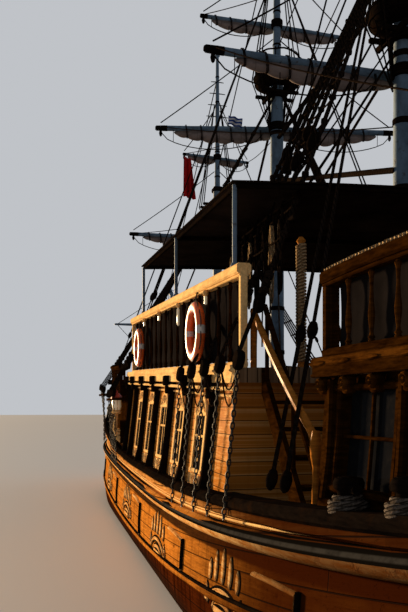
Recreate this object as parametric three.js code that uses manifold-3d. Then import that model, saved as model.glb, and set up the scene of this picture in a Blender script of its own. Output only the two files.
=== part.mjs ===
// A three-masted tall ship afloat, with square yards, a full-beam deckhouse, a forecastle and an aftercastle.
// Millimetres. +X is forward, +Y is port, +Z is up. The origin is amidships, on the centreline at the waterline.

import * as THREE from 'three';
import { mergeVertices } from 'three/addons/utils/BufferGeometryUtils.js';
import Module from 'manifold-3d';

const wasm = await Module();
wasm.setup();

const GAP = 0.3; // between pieces that touch
const M = 1000;
const SIDES = [['port', 1], ['starboard', -1]];

// Hull
const TRANSOM = -10300;
const STEM = 13250;
const HALF_BEAM = 3800;
const BOTTOM = -2000;
const UPRIGHT_AT = 600; // height above which the side stands nearly upright
const TUMBLEHOME = 0.02; // share of the half-breadth lost in each metre above that
const DECK = 950; // main deck in the waist
const BULWARK = 200;
const HULL_STATIONS = [-10300, -9500, -8400, -7000, -5000, -2500, 0, 2000, 3660, 5200, 7000, 8600, 10000, 11200,
  12200, 12900, 13250];
const KEEL_BOTTOM = -2300;
const KEEL_WIDTH = 240;

// Deckhouse and upper deck
const HOUSE = { aft: -4900, fore: 3600, foot: 3670, lean: 0.109, wall: 120, step: 1490 };
const WINDOW = { first: -3500, pitch: 1350, count: 6, width: 480, sill: 1840, below: 190 };
const UPPER = { aft: -5250, fore: 3630, half: 3620, thick: 150, camber: 50 };
const DOOR = { width: 900, height: 1750, thick: 60, clear: 8 };

const RAIL = { line: UPPER.half - 65, square: 60, cap: 120 };
const BUOY = { ring: 315, tube: 65 };
const AWNING = { aft: -4960, fore: 1780, half: 3600, thick: 40, camber: 100, posts: [-4900, -1650, 1720] };

// Forecastle
const FORE = { aft: 3660, wall: 140, well: 300 };

// Aftercastle and poop
const CASTLE = { fore: -7100, aft: -10300, inset: 110, wall: 90, ceiling: 2830 };
const POOP = { fore: -7050, aft: -10330, top: 2970 };

const STEERING = { x: -10400, foot: -2200, head: 1380, chord: 950, thick: 160, pin: 40 };
const SCREW = { z: -1175, fore: -9150, aft: -9900, radius: 480, blades: 3 };

// Masts: station, foot, lower masthead, truck, radius, crosstrees, nest. Yards tilt and are braced by degrees
const MASTS = {
  mizzen: { x: -2000, foot: DECK, head: 9300, truck: 14000, r: 165, top: 8500, nest: 1 },
  main: { x: 4000, foot: 1900, head: 11000, truck: 15500, r: 180, top: 10200, nest: 1 },
  fore: { x: 9800, foot: 2400, head: 9700, truck: 13900, r: 160, top: 9150, nest: 0 },
};
const YARDS = [
  // mast, name, height, half-length, radius, tilt, brace
  ['mizzen', 'lower', 7905, 3150, 80, 2, 0],
  ['mizzen', 'upper', 10900, 1900, 62, -2, 0],
  ['main', 'lower', 9380, 2935, 82, 0.8, -12],
  ['main', 'upper', 11860, 1840, 64, 5, -6],
  ['fore', 'lower', 8100, 2800, 76, 0, 0],
  ['fore', 'upper', 10675, 1100, 55, 3, 0],
];
const PARREL = { clear: 10, wall: 50, height: 120 };
const BOWSPRIT = { heel: [11900, 0, 2968], tip: [18600, 0, 8060], r: 165, tipR: 75 };

const COLOURS = {
  varnish: [0x9a5a22, 0.45, 0], hull: [0x7c3f1a, 0.5, 0], pale: [0xd9b070, 0.5, 0], dark: [0x2c1c12, 0.6, 0],
  spar: [0x6e7a84, 0.7, 0], canvas: [0xb7aa92, 0.9, 0], awning: [0x2a211c, 0.9, 0], rope: [0x1c1815, 0.95, 0],
  orange: [0xe4551c, 0.6, 0], iron: [0x2a2a2c, 0.5, 0.8], brass: [0xb08a3c, 0.35, 0.9],
};

// Geometry helpers

function solid(geometry) {
  const bare = new THREE.BufferGeometry();
  bare.setAttribute('position', geometry.attributes.position.clone());
  if (geometry.index) bare.setIndex(geometry.index.clone());
  const merged = mergeVertices(bare, 1e-3);
  const index = merged.index.array;
  const corners = [];
  for (let i = 0; i < index.length; i += 3) {
    const [a, b, c] = [index[i], index[i + 1], index[i + 2]];
    if (a !== b && b !== c && c !== a) corners.push(a, b, c);
  }
  return new wasm.Manifold(new wasm.Mesh({
    numProp: 3,
    vertProperties: Float32Array.from(merged.attributes.position.array),
    triVerts: Uint32Array.from(corners),
  }));
}

function geometryOf(body) {
  const mesh = body.getMesh();
  const geometry = new THREE.BufferGeometry();
  geometry.setAttribute('position', new THREE.BufferAttribute(Float32Array.from(mesh.vertProperties), 3));
  geometry.setIndex(new THREE.BufferAttribute(Uint32Array.from(mesh.triVerts), 1));
  geometry.computeVertexNormals();
  return geometry;
}

const join = (...parts) => parts.reduce((whole, part) => whole.add(part));
const cut = (body, ...tools) => tools.reduce((rest, tool) => rest.subtract(tool), body);
const shifted = (body, x, y, z) => body.translate([x, y, z]);

// What is left of a body beside its neighbour, with the small gap on every side that matters
function seatedOn(body, neighbour, ...directions) {
  return directions.reduce((rest, [x, y, z]) => rest.subtract(shifted(neighbour, x * GAP, y * GAP, z * GAP)), body);
}

const UP = [0, 0, 1];
const OUT = [[0, 1, 0], [0, -1, 0]];

function areaOf(flat) {
  return flat.reduce((sum, p, i) => {
    const q = flat[(i + 1) % flat.length];
    return sum + (p.x * q.y - q.x * p.y) / 2;
  }, 0);
}

// Closed body through rings of equal length; each ring is flat enough to be capped
function loft(rings) {
  const n = rings[0].length;
  const points = rings.flat();
  const faces = [];
  for (let i = 0; i + 1 < rings.length; i++) {
    for (let j = 0; j < n; j++) {
      const a = i * n + j;
      const b = i * n + ((j + 1) % n);
      faces.push([a, b, b + n], [a, b + n, a + n]);
    }
  }
  const capRing = (base, sign) => {
    const ring = points.slice(base, base + n);
    const views = [[1, 2], [0, 2], [0, 1]].map(([u, v]) => ring.map(p => new THREE.Vector2(p[u], p[v])));
    const areas = views.map(view => Math.abs(areaOf(view)));
    const flat = views[areas.indexOf(Math.max(...areas))];
    const turn = Math.sign(areaOf(flat)) * sign;
    for (const tri of THREE.ShapeUtils.triangulateShape(flat, [])) {
      const way = Math.sign(areaOf(tri.map(k => flat[k]))) * turn;
      const [a, b, c] = tri.map(k => base + k);
      faces.push(way > 0 ? [a, b, c] : [a, c, b]);
    }
  };
  capRing(0, -1);
  capRing((rings.length - 1) * n, 1);
  let volume = 0;
  for (const [a, b, c] of faces) {
    const [p, q, r] = [points[a], points[b], points[c]];
    volume += p[0] * (q[1] * r[2] - q[2] * r[1]) - p[1] * (q[0] * r[2] - q[2] * r[0])
      + p[2] * (q[0] * r[1] - q[1] * r[0]);
  }
  const geometry = new THREE.BufferGeometry();
  geometry.setAttribute('position', new THREE.BufferAttribute(Float32Array.from(points.flat()), 3));
  geometry.setIndex(faces.flatMap(([a, b, c]) => (volume > 0 ? [a, b, c] : [a, c, b])));
  return solid(geometry);
}

function block(x0, x1, y0, y1, z0, z1) {
  const geometry = new THREE.BoxGeometry(x1 - x0, y1 - y0, z1 - z0);
  geometry.translate((x0 + x1) / 2, (y0 + y1) / 2, (z0 + z1) / 2);
  return solid(geometry);
}

// Straight round bar from one point to another
function rod(from, to, r0, r1 = r0, sides = 8) {
  const a = new THREE.Vector3(...from);
  const b = new THREE.Vector3(...to);
  const geometry = new THREE.CylinderGeometry(r1, r0, a.distanceTo(b), sides);
  const turn = new THREE.Quaternion().setFromUnitVectors(new THREE.Vector3(0, 1, 0), b.clone().sub(a).normalize());
  geometry.applyQuaternion(turn);
  geometry.translate(...a.add(b).multiplyScalar(0.5).toArray());
  return solid(geometry);
}

// Profile of [radius, height] pairs turned about an upright axis
function turned(profile, x, y, sides = 12) {
  const geometry = new THREE.LatheGeometry(profile.map(p => new THREE.Vector2(...p)), sides);
  geometry.rotateX(Math.PI / 2);
  geometry.translate(x, y, 0);
  return solid(geometry);
}

// Plate cut to an outline of [x, z] pairs, standing along the ship
function plate(outline, y0, y1) {
  const geometry = new THREE.ExtrudeGeometry(new THREE.Shape(outline.map(p => new THREE.Vector2(...p))),
    { depth: y1 - y0, bevelEnabled: false });
  geometry.rotateX(Math.PI / 2);
  geometry.translate(0, y1, 0);
  return solid(geometry);
}

// Plate cut to an outline of [y, z] pairs, standing across the ship
function frame(outline, x0, x1) {
  return loft([x0, x1].map(x => outline.map(([y, z]) => [x, y, z])));
}

// Hull lines

// Height of the straight edges that join a curve's stations
function between(stations, height, x) {
  const i = Math.max(1, stations.findIndex(station => station >= x));
  const [a, b] = [stations[i - 1], stations[i]];
  return height(a) + (height(b) - height(a)) * ((x - a) / (b - a));
}

const parabola = (base, rise, x, middle) => base + rise * ((x - middle) / M) ** 2;
const waleHeight = x => parabola(1205, x > -1000 ? 3 : 9.2, x, -1000);
const capHeight = x => parabola(1520, x > 300 ? 9.5 : 7.2, x, 300) - (x < 0 ? 20 : 10) * Math.abs(x / M);
const lowWaleHeight = x => parabola(260, x > 1800 ? 7.8 : 8.6, x, 1800);
const forecastleTop = x => parabola(2880, 8.5, x, 4000);
const foreEdge = x => between(HULL_STATIONS, forecastleTop, x);
const upperDeck = x => 3220 + 41 * (x / M);
const upperRail = x => 4360 + 57.5 * (x / M);
const awningHeight = x => 5320 + 64 * (x / M);

function keelLine(x) {
  if (x > 8000) return BOTTOM + 2000 * ((x - 8000) / 4600) ** 3;
  if (x < -3000) return BOTTOM + 2150 * ((-3000 - x) / 7300) ** 1.8;
  return BOTTOM;
}

function halfBreadth(x) {
  return x > 0 ? HALF_BEAM * (1 - (x / 13300) ** 7) ** 0.6 : HALF_BEAM * (1 - 0.17 * (x / -10500) ** 6);
}

function hullSide(x, z) {
  const keel = keelLine(x);
  if (z <= keel) return 0;
  const upright = Math.max(UPRIGHT_AT, keel + 500);
  const rise = Math.min(1, (z - keel) / (upright - keel));
  const round = 2.6 - 0.9 * (x / 13000) ** 2;
  const fullness = (1 - (1 - rise) ** round) ** (1 / round);
  return halfBreadth(x) * fullness * (1 - TUMBLEHOME * Math.max(0, z - UPRIGHT_AT) / M);
}

// Both sides of a ring across the ship, from heights low to high and half-breadths at them
function ring(x, heights, breadth) {
  const side = heights.map(z => [x, breadth(z), z]);
  return [...side, ...side.map(([, y, z]) => [x, -y, z]).reverse()];
}

const GIRTH = [0.02, 0.08, 0.2, 0.42, 0.7, 1]; // heights of the ring's points up to where the side is upright

function hullRing(x) {
  const keel = keelLine(x);
  const upright = Math.max(UPRIGHT_AT, keel + 500);
  const heights = [...GIRTH.map(t => keel + t * (upright - keel)), capHeight(x)];
  return [[x, 0, keel], ...ring(x, heights, z => hullSide(x, z))];
}

// Moulding that follows the ship's side: an eight-cornered rail of some width and height
function moulding(stations, height, side, proud, tall, sign) {
  const corners = [[-1, -0.5], [0.6, -0.5], [1, -0.25], [1, 0.25], [0.6, 0.5], [-1, 0.5]];
  return loft(stations.map(x => {
    const z = height(x);
    const y = side(x, z);
    return corners.map(([out, up]) => [x, sign * (y + out * proud), z + up * tall]);
  }));
}

function hullBody() {
  const well = loft(HULL_STATIONS.filter(x => x <= FORE.aft).map(x => {
    const inner = z => hullSide(x, z) - BULWARK;
    const at = x === TRANSOM ? x + BULWARK : x;
    return ring(at, [DECK, capHeight(x) + 200], inner);
  }));
  let body = cut(loft(HULL_STATIONS.map(hullRing)), well);
  const run = HULL_STATIONS.filter(x => x < 13000);
  for (const [, sign] of SIDES) {
    body = join(body,
      moulding(run, waleHeight, hullSide, 110, 170, sign),
      moulding(run, x => capHeight(x) - 50, hullSide, 120, 100, sign),
      moulding(run.filter(x => x < 12500), lowWaleHeight, hullSide, 60, 90, sign));
  }
  for (const z of [700]) body = join(body, gudgeon(z, TRANSOM + 60));
  return body;
}

// Rudder hangings

function gudgeon(z, inboard) {
  return cut(block(STEERING.x - 75, inboard, -75, 75, z - 45, z + 45),
    rod([STEERING.x, 0, z - 60], [STEERING.x, 0, z + 60], STEERING.pin + 0.8, STEERING.pin + 0.8, 24));
}

const GUDGEONS = [-1850, -600, 700];

function rudderBody() {
  const { x, foot, head, chord, thick, pin } = STEERING;
  const blade = plate([[x, foot], [x, head], [x - 320, head], [x - 420, 500], [x - chord, -700],
    [x - chord - 60, -1500], [x - chord + 60, foot]], -thick / 2, thick / 2);
  const stock = rod([x, 0, foot], [x, 0, head], thick / 2, thick / 2, 16);
  let body = join(blade, stock);
  for (const z of GUDGEONS) {
    body = cut(body, rod([x, 0, z - 75], [x, 0, z + 75], 125, 125, 16));
  }
  return join(body, rod([x, 0, foot + 20], [x, 0, head - 20], pin, pin, 16));
}

// Keel, deadwood, sternpost and stem in one piece down the centreline

function backboneBody(hull) {
  const outline = [[-10300, 400], [-10300, KEEL_BOTTOM], [8000, KEEL_BOTTOM], [10100, -2080], [11650, -1350],
    [12850, -150], [13480, 900], [13680, 1800], [13800, 2700], [13850, 3560], [13100, 3560], [12300, 800],
    [11000, -900], [9500, -1500], [-3000, -1500], [-9000, 0]];
  let body = plate(outline, -KEEL_WIDTH / 2, KEEL_WIDTH / 2);
  body = cut(body, block(SCREW.aft, SCREW.fore, -200, 200, SCREW.z - 570, SCREW.z + 570));
  body = cut(body, rod([SCREW.fore - 10, 0, SCREW.z], [SCREW.fore + 260, 0, SCREW.z], 61, 61, 24));
  body = seatedOn(body, hull, [0, 0, -1], [1, 0, 0], [-1, 0, 0], UP);
  return join(body, ...GUDGEONS.slice(0, 2).map(z => gudgeon(z, -10280)));
}

function propellerBody() {
  const { z, fore, radius, blades } = SCREW;
  const aft = fore - 330;
  let body = join(rod([fore - 12, 0, z], [aft, 0, z], 95, 70, 16), rod([fore - 20, 0, z], [fore + 240, 0, z], 60, 60, 16));
  for (let i = 0; i < blades; i++) {
    const turn = (i / blades) * 2 * Math.PI;
    const sections = [[30, 150, 48, 40], [180, 240, 40, 30], [330, 270, 31, 24], [radius, 120, 24, 18]];
    // radius, chord, pitch angle in degrees, thickness
    const blade = loft(sections.map(([r, chord, pitch, thick]) => {
      const [c, s] = [Math.cos(pitch * Math.PI / 180), Math.sin(pitch * Math.PI / 180)];
      return [[-0.5, 0], [0, 0.5], [0.5, 0], [0, -0.5]].map(([along, across]) => {
        const u = along * chord;
        const w = across * thick;
        const x = u * s + w * c;
        const y = u * c - w * s;
        return [fore - 170 + x, y * Math.cos(turn) - r * Math.sin(turn), z + y * Math.sin(turn) + r * Math.cos(turn)];
      });
    }));
    body = join(body, blade);
  }
  return body;
}

// Deckhouse

// The walls stand on the bulwarks; below them only the end walls go on down, between the bulwarks
const houseSide = z => HOUSE.foot - HOUSE.lean * (z - 1720);

function houseShell(inset, x0, x1, low, between, over) {
  return loft([x0, x1].map(x => ring(x, [low, HOUSE.step, HOUSE.step + 20, upperDeck(x) - UPPER.thick + over],
    z => (z > HOUSE.step ? houseSide(z) - inset : between))));
}

// Arched window through the port or starboard wall
function windowTool(x, sign) {
  const head = upperDeck(x) - UPPER.thick - WINDOW.below;
  const half = WINDOW.width / 2;
  const outline = [[x - half, WINDOW.sill], [x + half, WINDOW.sill]];
  for (let i = 0; i <= 6; i++) {
    const turn = (i / 6) * Math.PI;
    outline.push([x + half * Math.cos(turn), head - half + half * Math.sin(turn)]);
  }
  return sign > 0 ? plate(outline, 3300, 4000) : plate(outline, -4000, -3300);
}

function doorway(x0, x1, y, floor) {
  return block(x0, x1, y - DOOR.width / 2, y + DOOR.width / 2, floor, floor + DOOR.height);
}

function deckhouseBody(hull) {
  let body = cut(houseShell(0, HOUSE.aft, HOUSE.fore, DECK, 3560, 0),
    houseShell(HOUSE.wall, HOUSE.aft + HOUSE.wall, HOUSE.fore - HOUSE.wall, DECK - 100, 3600, 100));
  for (let i = 0; i < WINDOW.count; i++) {
    for (const [, sign] of SIDES) {
      if (i < WINDOW.count - 1) body = cut(body, windowTool(WINDOW.first + i * WINDOW.pitch, sign));
    }
  }
  body = cut(body, doorway(HOUSE.aft - 50, HOUSE.aft + 200, 0, DECK + 60));
  return seatedOn(body, hull, UP, ...OUT);
}

function upperDeckBody() {
  const { aft, fore, half, thick, camber } = UPPER;
  const body = loft([aft, fore].map(x => {
    const top = upperDeck(x);
    const under = top - thick + GAP;
    return [[x, half, under], [x, half, top], [x, half / 2, top + camber * 0.75], [x, 0, top + camber],
      [x, -half / 2, top + camber * 0.75], [x, -half, top], [x, -half, under]];
  }));
  return cut(body, mastBar(MASTS.mizzen, GAP));
}

// Masts

function mastBar(mast, grow = 0) {
  const { x, foot, head, truck, r } = mast;
  const lower = rod([x, 0, foot + GAP - grow], [x, 0, head], r + grow, r * 0.8 + grow, 12);
  const upper = rod([x, 0, head - 900], [x, 0, truck], r * 0.58 + grow, 45 + grow, 12);
  return join(lower, upper);
}

function mastRadius(mast, z) {
  const span = (z - mast.foot) / (mast.head - mast.foot);
  if (span < 1) return mast.r * (1 - 0.2 * span);
  return mast.r * 0.58 + (45 - mast.r * 0.58) * (z - mast.head + 900) / (mast.truck - mast.head + 900);
}

// Hoop under each parrel, the truck at the top and the crosstrees
function mastBody(name) {
  const mast = MASTS[name];
  let body = mastBar(mast);
  for (const [owner, , height] of YARDS) {
    if (owner !== name) continue;
    const r = mastRadius(mast, height);
    const low = height - PARREL.height / 2;
    body = join(body, rod([mast.x, 0, low - 60 - GAP], [mast.x, 0, low - GAP], r + 45, r + 45, 12));
  }
  body = join(body, rod([mast.x, 0, mast.truck - 20], [mast.x, 0, mast.truck + 60], 75, 55, 8));
  const spread = mast.nest ? 470 : 520;
  for (const sign of [1, -1]) {
    body = join(body,
      block(mast.x - spread, mast.x + spread, sign * 190 - 40, sign * 190 + 40, mast.top - 130, mast.top - 30),
      block(mast.x + sign * 210 - 40, mast.x + sign * 210 + 40, -spread, spread, mast.top - 110, mast.top - 30));
  }
  return join(body, rod([mast.x, 0, mast.top - 170], [mast.x, 0, mast.top - 60], 250, 250, 12));
}

// Round top: a shallow bowl with a rail of stanchions, open in the middle for the mast
function nestBody(mast) {
  const z = mast.top - 30 + GAP;
  const bowl = turned([[200, z], [360, z], [540, z + 300], [540, z + 380], [500, z + 380], [490, z + 310],
    [330, z + 60], [200, z + 60], [200, z]], mast.x, 0, 16);
  let body = bowl;
  for (let i = 0; i < 8; i++) {
    const turn = ((i + 0.5) / 8) * 2 * Math.PI;
    const [x, y] = [mast.x + 515 * Math.cos(turn), 515 * Math.sin(turn)];
    body = join(body, rod([x, y, z + 360], [x, y, z + 850], 16, 16, 4));
  }
  const rail = turned([[497, z + 830], [537, z + 830], [537, z + 865], [497, z + 865], [497, z + 830]], mast.x, 0, 16);
  return join(body, rail);
}

// Yards: a tapered spar before the mast on a parrel hoop

function yardCentre(mast, height, radius) {
  return mast.x + mastRadius(mast, height) + PARREL.clear + PARREL.wall * 0.6 + radius;
}

function yardSpar([owner, , height, half, radius, tilt], drop = 0) {
  const mast = MASTS[owner];
  const x = yardCentre(mast, height, radius);
  const rise = Math.tan(tilt * Math.PI / 180);
  const parts = [];
  for (const sign of [1, -1]) {
    const at = share => [x, sign * half * share, height + sign * half * share * rise - drop];
    parts.push(rod(at(-0.02), at(1), radius, radius * 0.5));
  }
  return join(...parts);
}

// A yard and its sail are made square across the ship and then turned about the mast
function braced(body, [owner, , , , , , brace]) {
  const { x } = MASTS[owner];
  return shifted(shifted(body, -x, 0, 0).rotate([0, 0, brace]), x, 0, 0);
}

function yardBody(row) {
  const [owner, , height] = row;
  const mast = MASTS[owner];
  const r = mastRadius(mast, height);
  const [low, high] = [height - PARREL.height / 2, height + PARREL.height / 2];
  const [inner, outer] = [r + PARREL.clear, r + PARREL.clear + PARREL.wall];
  const hoop = turned([[inner, low], [outer, low], [outer, high], [inner, high], [inner, low]], mast.x, 0, 16);
  return join(yardSpar(row), hoop);
}

// Furled sail: two lobes hung under the yard and tied along it
function furledBody(row) {
  const [owner, , height, half, radius, tilt] = row;
  const x = yardCentre(MASTS[owner], height, radius) + radius * 0.4;
  const rise = Math.tan(tilt * Math.PI / 180);
  const fat = radius * 2;
  const stations = [-0.84, -0.66, -0.42, -0.16, 0, 0.16, 0.42, 0.66, 0.84];
  const lobe = share => 0.32 + 0.68 * Math.sin(Math.PI * Math.min(1, Math.abs(share) / 0.84) ** 0.85) ** 0.8;
  const body = loft(stations.map(share => {
    const girth = fat * Math.max(0.3, lobe(share));
    const y = share * half;
    const z = height + y * rise - radius * 0.55 - girth * 0.7;
    return Array.from({ length: 8 }, (unused, i) => {
      const turn = (i / 8) * 2 * Math.PI;
      return [x + girth * 0.72 * Math.cos(turn), y, z + girth * Math.sin(turn)];
    });
  }));
  return seatedOn(body, yardBody(row), [0, 0, -1], [0, 0, 0]);
}

// Forecastle

const foreSide = x => z => halfBreadth(x) * (1 - TUMBLEHOME * Math.max(0, z - UPRIGHT_AT) / M);

function forecastleBody() {
  const stations = [FORE.aft, ...HULL_STATIONS.filter(x => x > FORE.aft)];
  const shell = loft(stations.map(x => ring(x, [capHeight(x) + GAP, forecastleTop(x)], foreSide(x))));
  const inner = stations.map((x, i) => {
    const at = i === 0 ? x + FORE.wall : x;
    const [floor, over] = [forecastleTop(x) - FORE.well, forecastleTop(x) + 300];
    return ring(at, [floor, over], z => Math.max(60, foreSide(x)(z) - FORE.wall));
  }).filter(points => points[0][0] < 13000);
  let body = cut(shell, loft(inner));
  for (const [, sign] of SIDES) {
    body = join(body, moulding(stations.filter(x => x < 13000), x => forecastleTop(x) - 45,
      (x, z) => foreSide(x)(z), 90, 90, sign));
    for (const [x, long] of [[MASTS.main.x + 450, 1500], [MASTS.fore.x - 200, 1500]]) {
      const z = forecastleTop(x - long / 2) - 60;
      const y = foreSide(x)(z);
      const board = block(x - long / 2, x + long / 2, y - 320, y + 340, z - 45, z + 15);
      body = join(body, sign > 0 ? board : board.mirror([0, 1, 0]));
    }
  }
  return cut(body, mastBar(MASTS.main, GAP), mastBar(MASTS.fore, GAP), bowspritBar(GAP));
}

function bowspritBar(grow = 0) {
  const { heel, tip, r, tipR } = BOWSPRIT;
  const along = new THREE.Vector3(...tip).sub(new THREE.Vector3(...heel)).normalize().multiplyScalar(grow);
  return rod(heel.map((v, k) => v - along.getComponent(k)), tip, r + grow, tipR + grow, 16);
}

// Balustrade along one side: bottom rail, posts and a broad cap
function balustrade({ from, to, pitch, y, foot, cap, sign }) {
  const { square, cap: capWide } = RAIL;
  const count = Math.round((to - from) / pitch);
  const xs = Array.from({ length: count + 1 }, (unused, i) => from + (to - from) * (i / count));
  const strip = (low, high, wide) => loft(xs.map(x => {
    const out = sign * y(x);
    return [[x, out - wide / 2, low(x)], [x, out + wide / 2, low(x)], [x, out + wide / 2, high(x)],
      [x, out - wide / 2, high(x)]];
  }));
  const posts = xs.map((x, i) => {
    const at = Math.min(Math.max(x, from + square / 2), to - square / 2);
    const wide = i === 0 || i === count ? square * 1.4 : square;
    const out = sign * y(x);
    const inset = i === 0 ? square * 0.2 : i === count ? -square * 0.2 : 0;
    return block(at + inset - wide / 2, at + inset + wide / 2, out - square / 2, out + square / 2,
      foot(x) + 30, cap(x) - 40);
  });
  return join(strip(foot, x => foot(x) + 70, 90), strip(x => cap(x) - 95, cap, capWide), ...posts);
}

const upperRailBody = sign => balustrade({
  from: UPPER.aft, to: 3200, pitch: 500, y: () => RAIL.line, sign,
  foot: x => upperDeck(x) + 3, cap: upperRail,
});

// The same across the ship
function crossRail(x, y0, y1, foot, cap) {
  const count = Math.ceil((y1 - y0) / 700);
  const posts = Array.from({ length: count + 1 }, (unused, i) => {
    const y = Math.min(Math.max(y0 + ((y1 - y0) * i) / count, y0 + 30), y1 - 30);
    return block(x - 30, x + 30, y - 30, y + 30, foot + 30, cap - 40);
  });
  return join(block(x - 45, x + 45, y0, y1, foot, foot + 70), block(x - 60, x + 60, y0, y1, cap - 95, cap), ...posts);
}

// Awning and its frame

const awningTop = (x, y) => awningHeight(x) + AWNING.camber * (1 - (y / AWNING.half) ** 2);

function awningBody() {
  const widths = [-1, -0.75, -0.45, 0, 0.45, 0.75, 1].map(share => share * AWNING.half);
  const body = loft([AWNING.aft, -2000, AWNING.fore].map(x => {
    const top = widths.map(y => [x, y, awningTop(x, y)]);
    return [...top, ...top.map(([px, y, z]) => [px, y, z - AWNING.thick]).reverse()];
  }));
  return cut(body, rod([MASTS.mizzen.x, 0, 5000], [MASTS.mizzen.x, 0, 6000], 260, 260, 20));
}

// Posts on the rails, a bow across each pair of them and a batten along each side
function awningFrameBody() {
  const under = (x, y) => awningTop(x, y) - AWNING.thick;
  const bars = [];
  for (const x of AWNING.posts) {
    for (const [, sign] of SIDES) {
      const y = sign * RAIL.line;
      bars.push(rod([x, y, upperRail(x + 30) + GAP], [x, y, under(x, y) - 20], 28, 28, 6));
    }
    bars.push(loft([-0.985, -0.75, -0.45, 0, 0.45, 0.75, 0.985].map(share => {
      const y = share * AWNING.half;
      const z = under(x, y);
      return [[x - 28, y, z - 55], [x + 28, y, z - 55], [x + 28, y, z], [x - 28, y, z]];
    })));
  }
  for (const [, sign] of SIDES) {
    const y = sign * (AWNING.half - 70);
    bars.push(loft([AWNING.aft + 35, AWNING.fore - 35].map(x => {
      const z = under(x, y) - 2;
      return [[x, y - 25, z - 50], [x, y + 25, z - 50], [x, y + 25, z], [x, y - 25, z]];
    })));
  }
  return seatedOn(join(...bars), awningBody(), [0, 0, -1]);
}

// Aftercastle

const castleSide = x => z => hullSide(x, Math.min(z, 2200)) - CASTLE.inset - 0.06 * Math.max(0, z - 2000);
const CASTLE_STATIONS = [CASTLE.fore, -8000, -8900, -9700, CASTLE.aft];

function aftercastleBody(hull) {
  const outer = loft(CASTLE_STATIONS.map(x => ring(x, [DECK, 2000, CASTLE.ceiling], castleSide(x))));
  const inner = loft(CASTLE_STATIONS.map((x, i) => {
    const at = i === 0 ? x - CASTLE.wall : i === CASTLE_STATIONS.length - 1 ? x + CASTLE.wall : x;
    return ring(at, [DECK - 50, 2000, CASTLE.ceiling + 50], z => castleSide(x)(z) - CASTLE.wall);
  }));
  let body = cut(outer, inner);
  for (const x of [-7750, -8650, -9550]) {
    for (const [, sign] of SIDES) {
      body = cut(body, block(x - 340, x + 340, ...(sign > 0 ? [2600, 4000] : [-4000, -2600]), 2060, 2720));
    }
  }
  for (const y of [-1700, -600, 600, 1700]) {
    body = cut(body, block(CASTLE.aft - 50, CASTLE.aft + 200, y - 300, y + 300, 2180, 2700));
  }
  body = cut(body, doorway(CASTLE.fore - 200, CASTLE.fore + 50, 0, DECK + 60));
  for (const y of [-2100, 2100]) {
    body = cut(body, block(CASTLE.fore - 200, CASTLE.fore + 50, y - 450, y + 450, 1700, 2600));
  }
  return seatedOn(body, hull, UP, ...OUT, [1, 0, 0]);
}

function poopDeckBody() {
  const stations = [POOP.fore, -8000, -8900, -9700, POOP.aft];
  return loft(stations.map(x => {
    const half = castleSide(x)(CASTLE.ceiling) + 70;
    return ring(x, [CASTLE.ceiling + GAP, POOP.top], () => half);
  }));
}

const poopHalf = x => castleSide(x)(CASTLE.ceiling) + 10;
const poopCap = x => 3630 - 25 * ((x + 8300) / 1200) ** 2;

// Along one side and across the fore edge, with a gap for the ladder to starboard
function poopRailBody(sign) {
  const [x, half] = [-7170, poopHalf(-7170)];
  const foot = POOP.top + GAP;
  const [y0, y1] = sign > 0 ? [-1880, half] : [-half, -2720];
  return join(balustrade({ from: -10200, to: -7130, pitch: 614, y: poopHalf, sign, foot: () => foot, cap: poopCap }),
    crossRail(x, y0, y1, foot, poopCap(x)));
}

// Upper transom with its arched head, over the rudder
function sternGalleryBody(hull, castle) {
  const outline = [[-3050, 1560], [-3250, 2300], [-3080, 3700], [-2100, 4150], [-1000, 4480], [0, 4600], [1000, 4480],
    [2100, 4150], [3080, 3700], [3250, 2300], [3050, 1560]];
  let body = frame(outline, -10620, -10345);
  body = join(body, frame([[-2900, 1560], [-2900, 2050], [2900, 2050], [2900, 1560]], -10400, -10290));
  for (const y of [-1700, -600, 600, 1700]) {
    body = cut(body, block(-10700, -10200, y - 300, y + 300, 2180, 2700));
  }
  body = join(body, frame([[-3150, 2020], [-3150, 2120], [3150, 2120], [3150, 2020]], -10720, -10400),
    frame([[-3100, 2780], [-3100, 2880], [3100, 2880], [3100, 2780]], -10700, -10400));
  return cut(seatedOn(body, hull, [-1, 0, 0], UP), castle, shifted(poopDeckBody(), -GAP, 0, 0));
}

// Six-sided lantern; the radii are shares of its width, the heights shares of its size
function lanternBody(x, y, z, size, wide = size) {
  return turned([[0, z], [wide * 0.35, z], [wide * 0.5, z + size * 0.25], [wide * 0.62, z + size * 1.2],
    [wide * 0.72, z + size * 1.25], [wide * 0.2, z + size * 1.8], [0, z + size * 2.0]], x, y, 6);
}

// Steering wheel on its pedestal

const WHEEL = { x: -8050, z: POOP.top + 850, r: 430, handle: 560 };

function helmWheelBody() {
  const { x, z, r, handle } = WHEEL;
  const face = x - 60;
  const rim = new THREE.TorusGeometry(r, 32, 5, 16);
  rim.rotateY(Math.PI / 2);
  rim.translate(face, 0, z);
  let body = join(solid(rim), rod([face - 50, 0, z], [face + 50, 0, z], 90), rod([face, 0, z], [x + 150, 0, z], 30, 30, 16));
  for (let i = 0; i < 8; i++) {
    const turn = (i / 8) * 2 * Math.PI;
    body = join(body, rod([face, 0, z], [face, handle * Math.cos(turn), z + handle * Math.sin(turn)], 20, 16, 4));
  }
  return body;
}

function pedestalBody() {
  const { x, z } = WHEEL;
  const box = block(x + 60, x + 420, -200, 200, POOP.top + GAP, z + 160);
  const foot = block(x + 20, x + 460, -250, 250, POOP.top + GAP, POOP.top + 90);
  return cut(join(box, foot), rod([x, 0, z], [x + 200, 0, z], 30.7, 30.7, 24));
}

// Ladders between the decks: two strings, treads and a handrail

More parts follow.
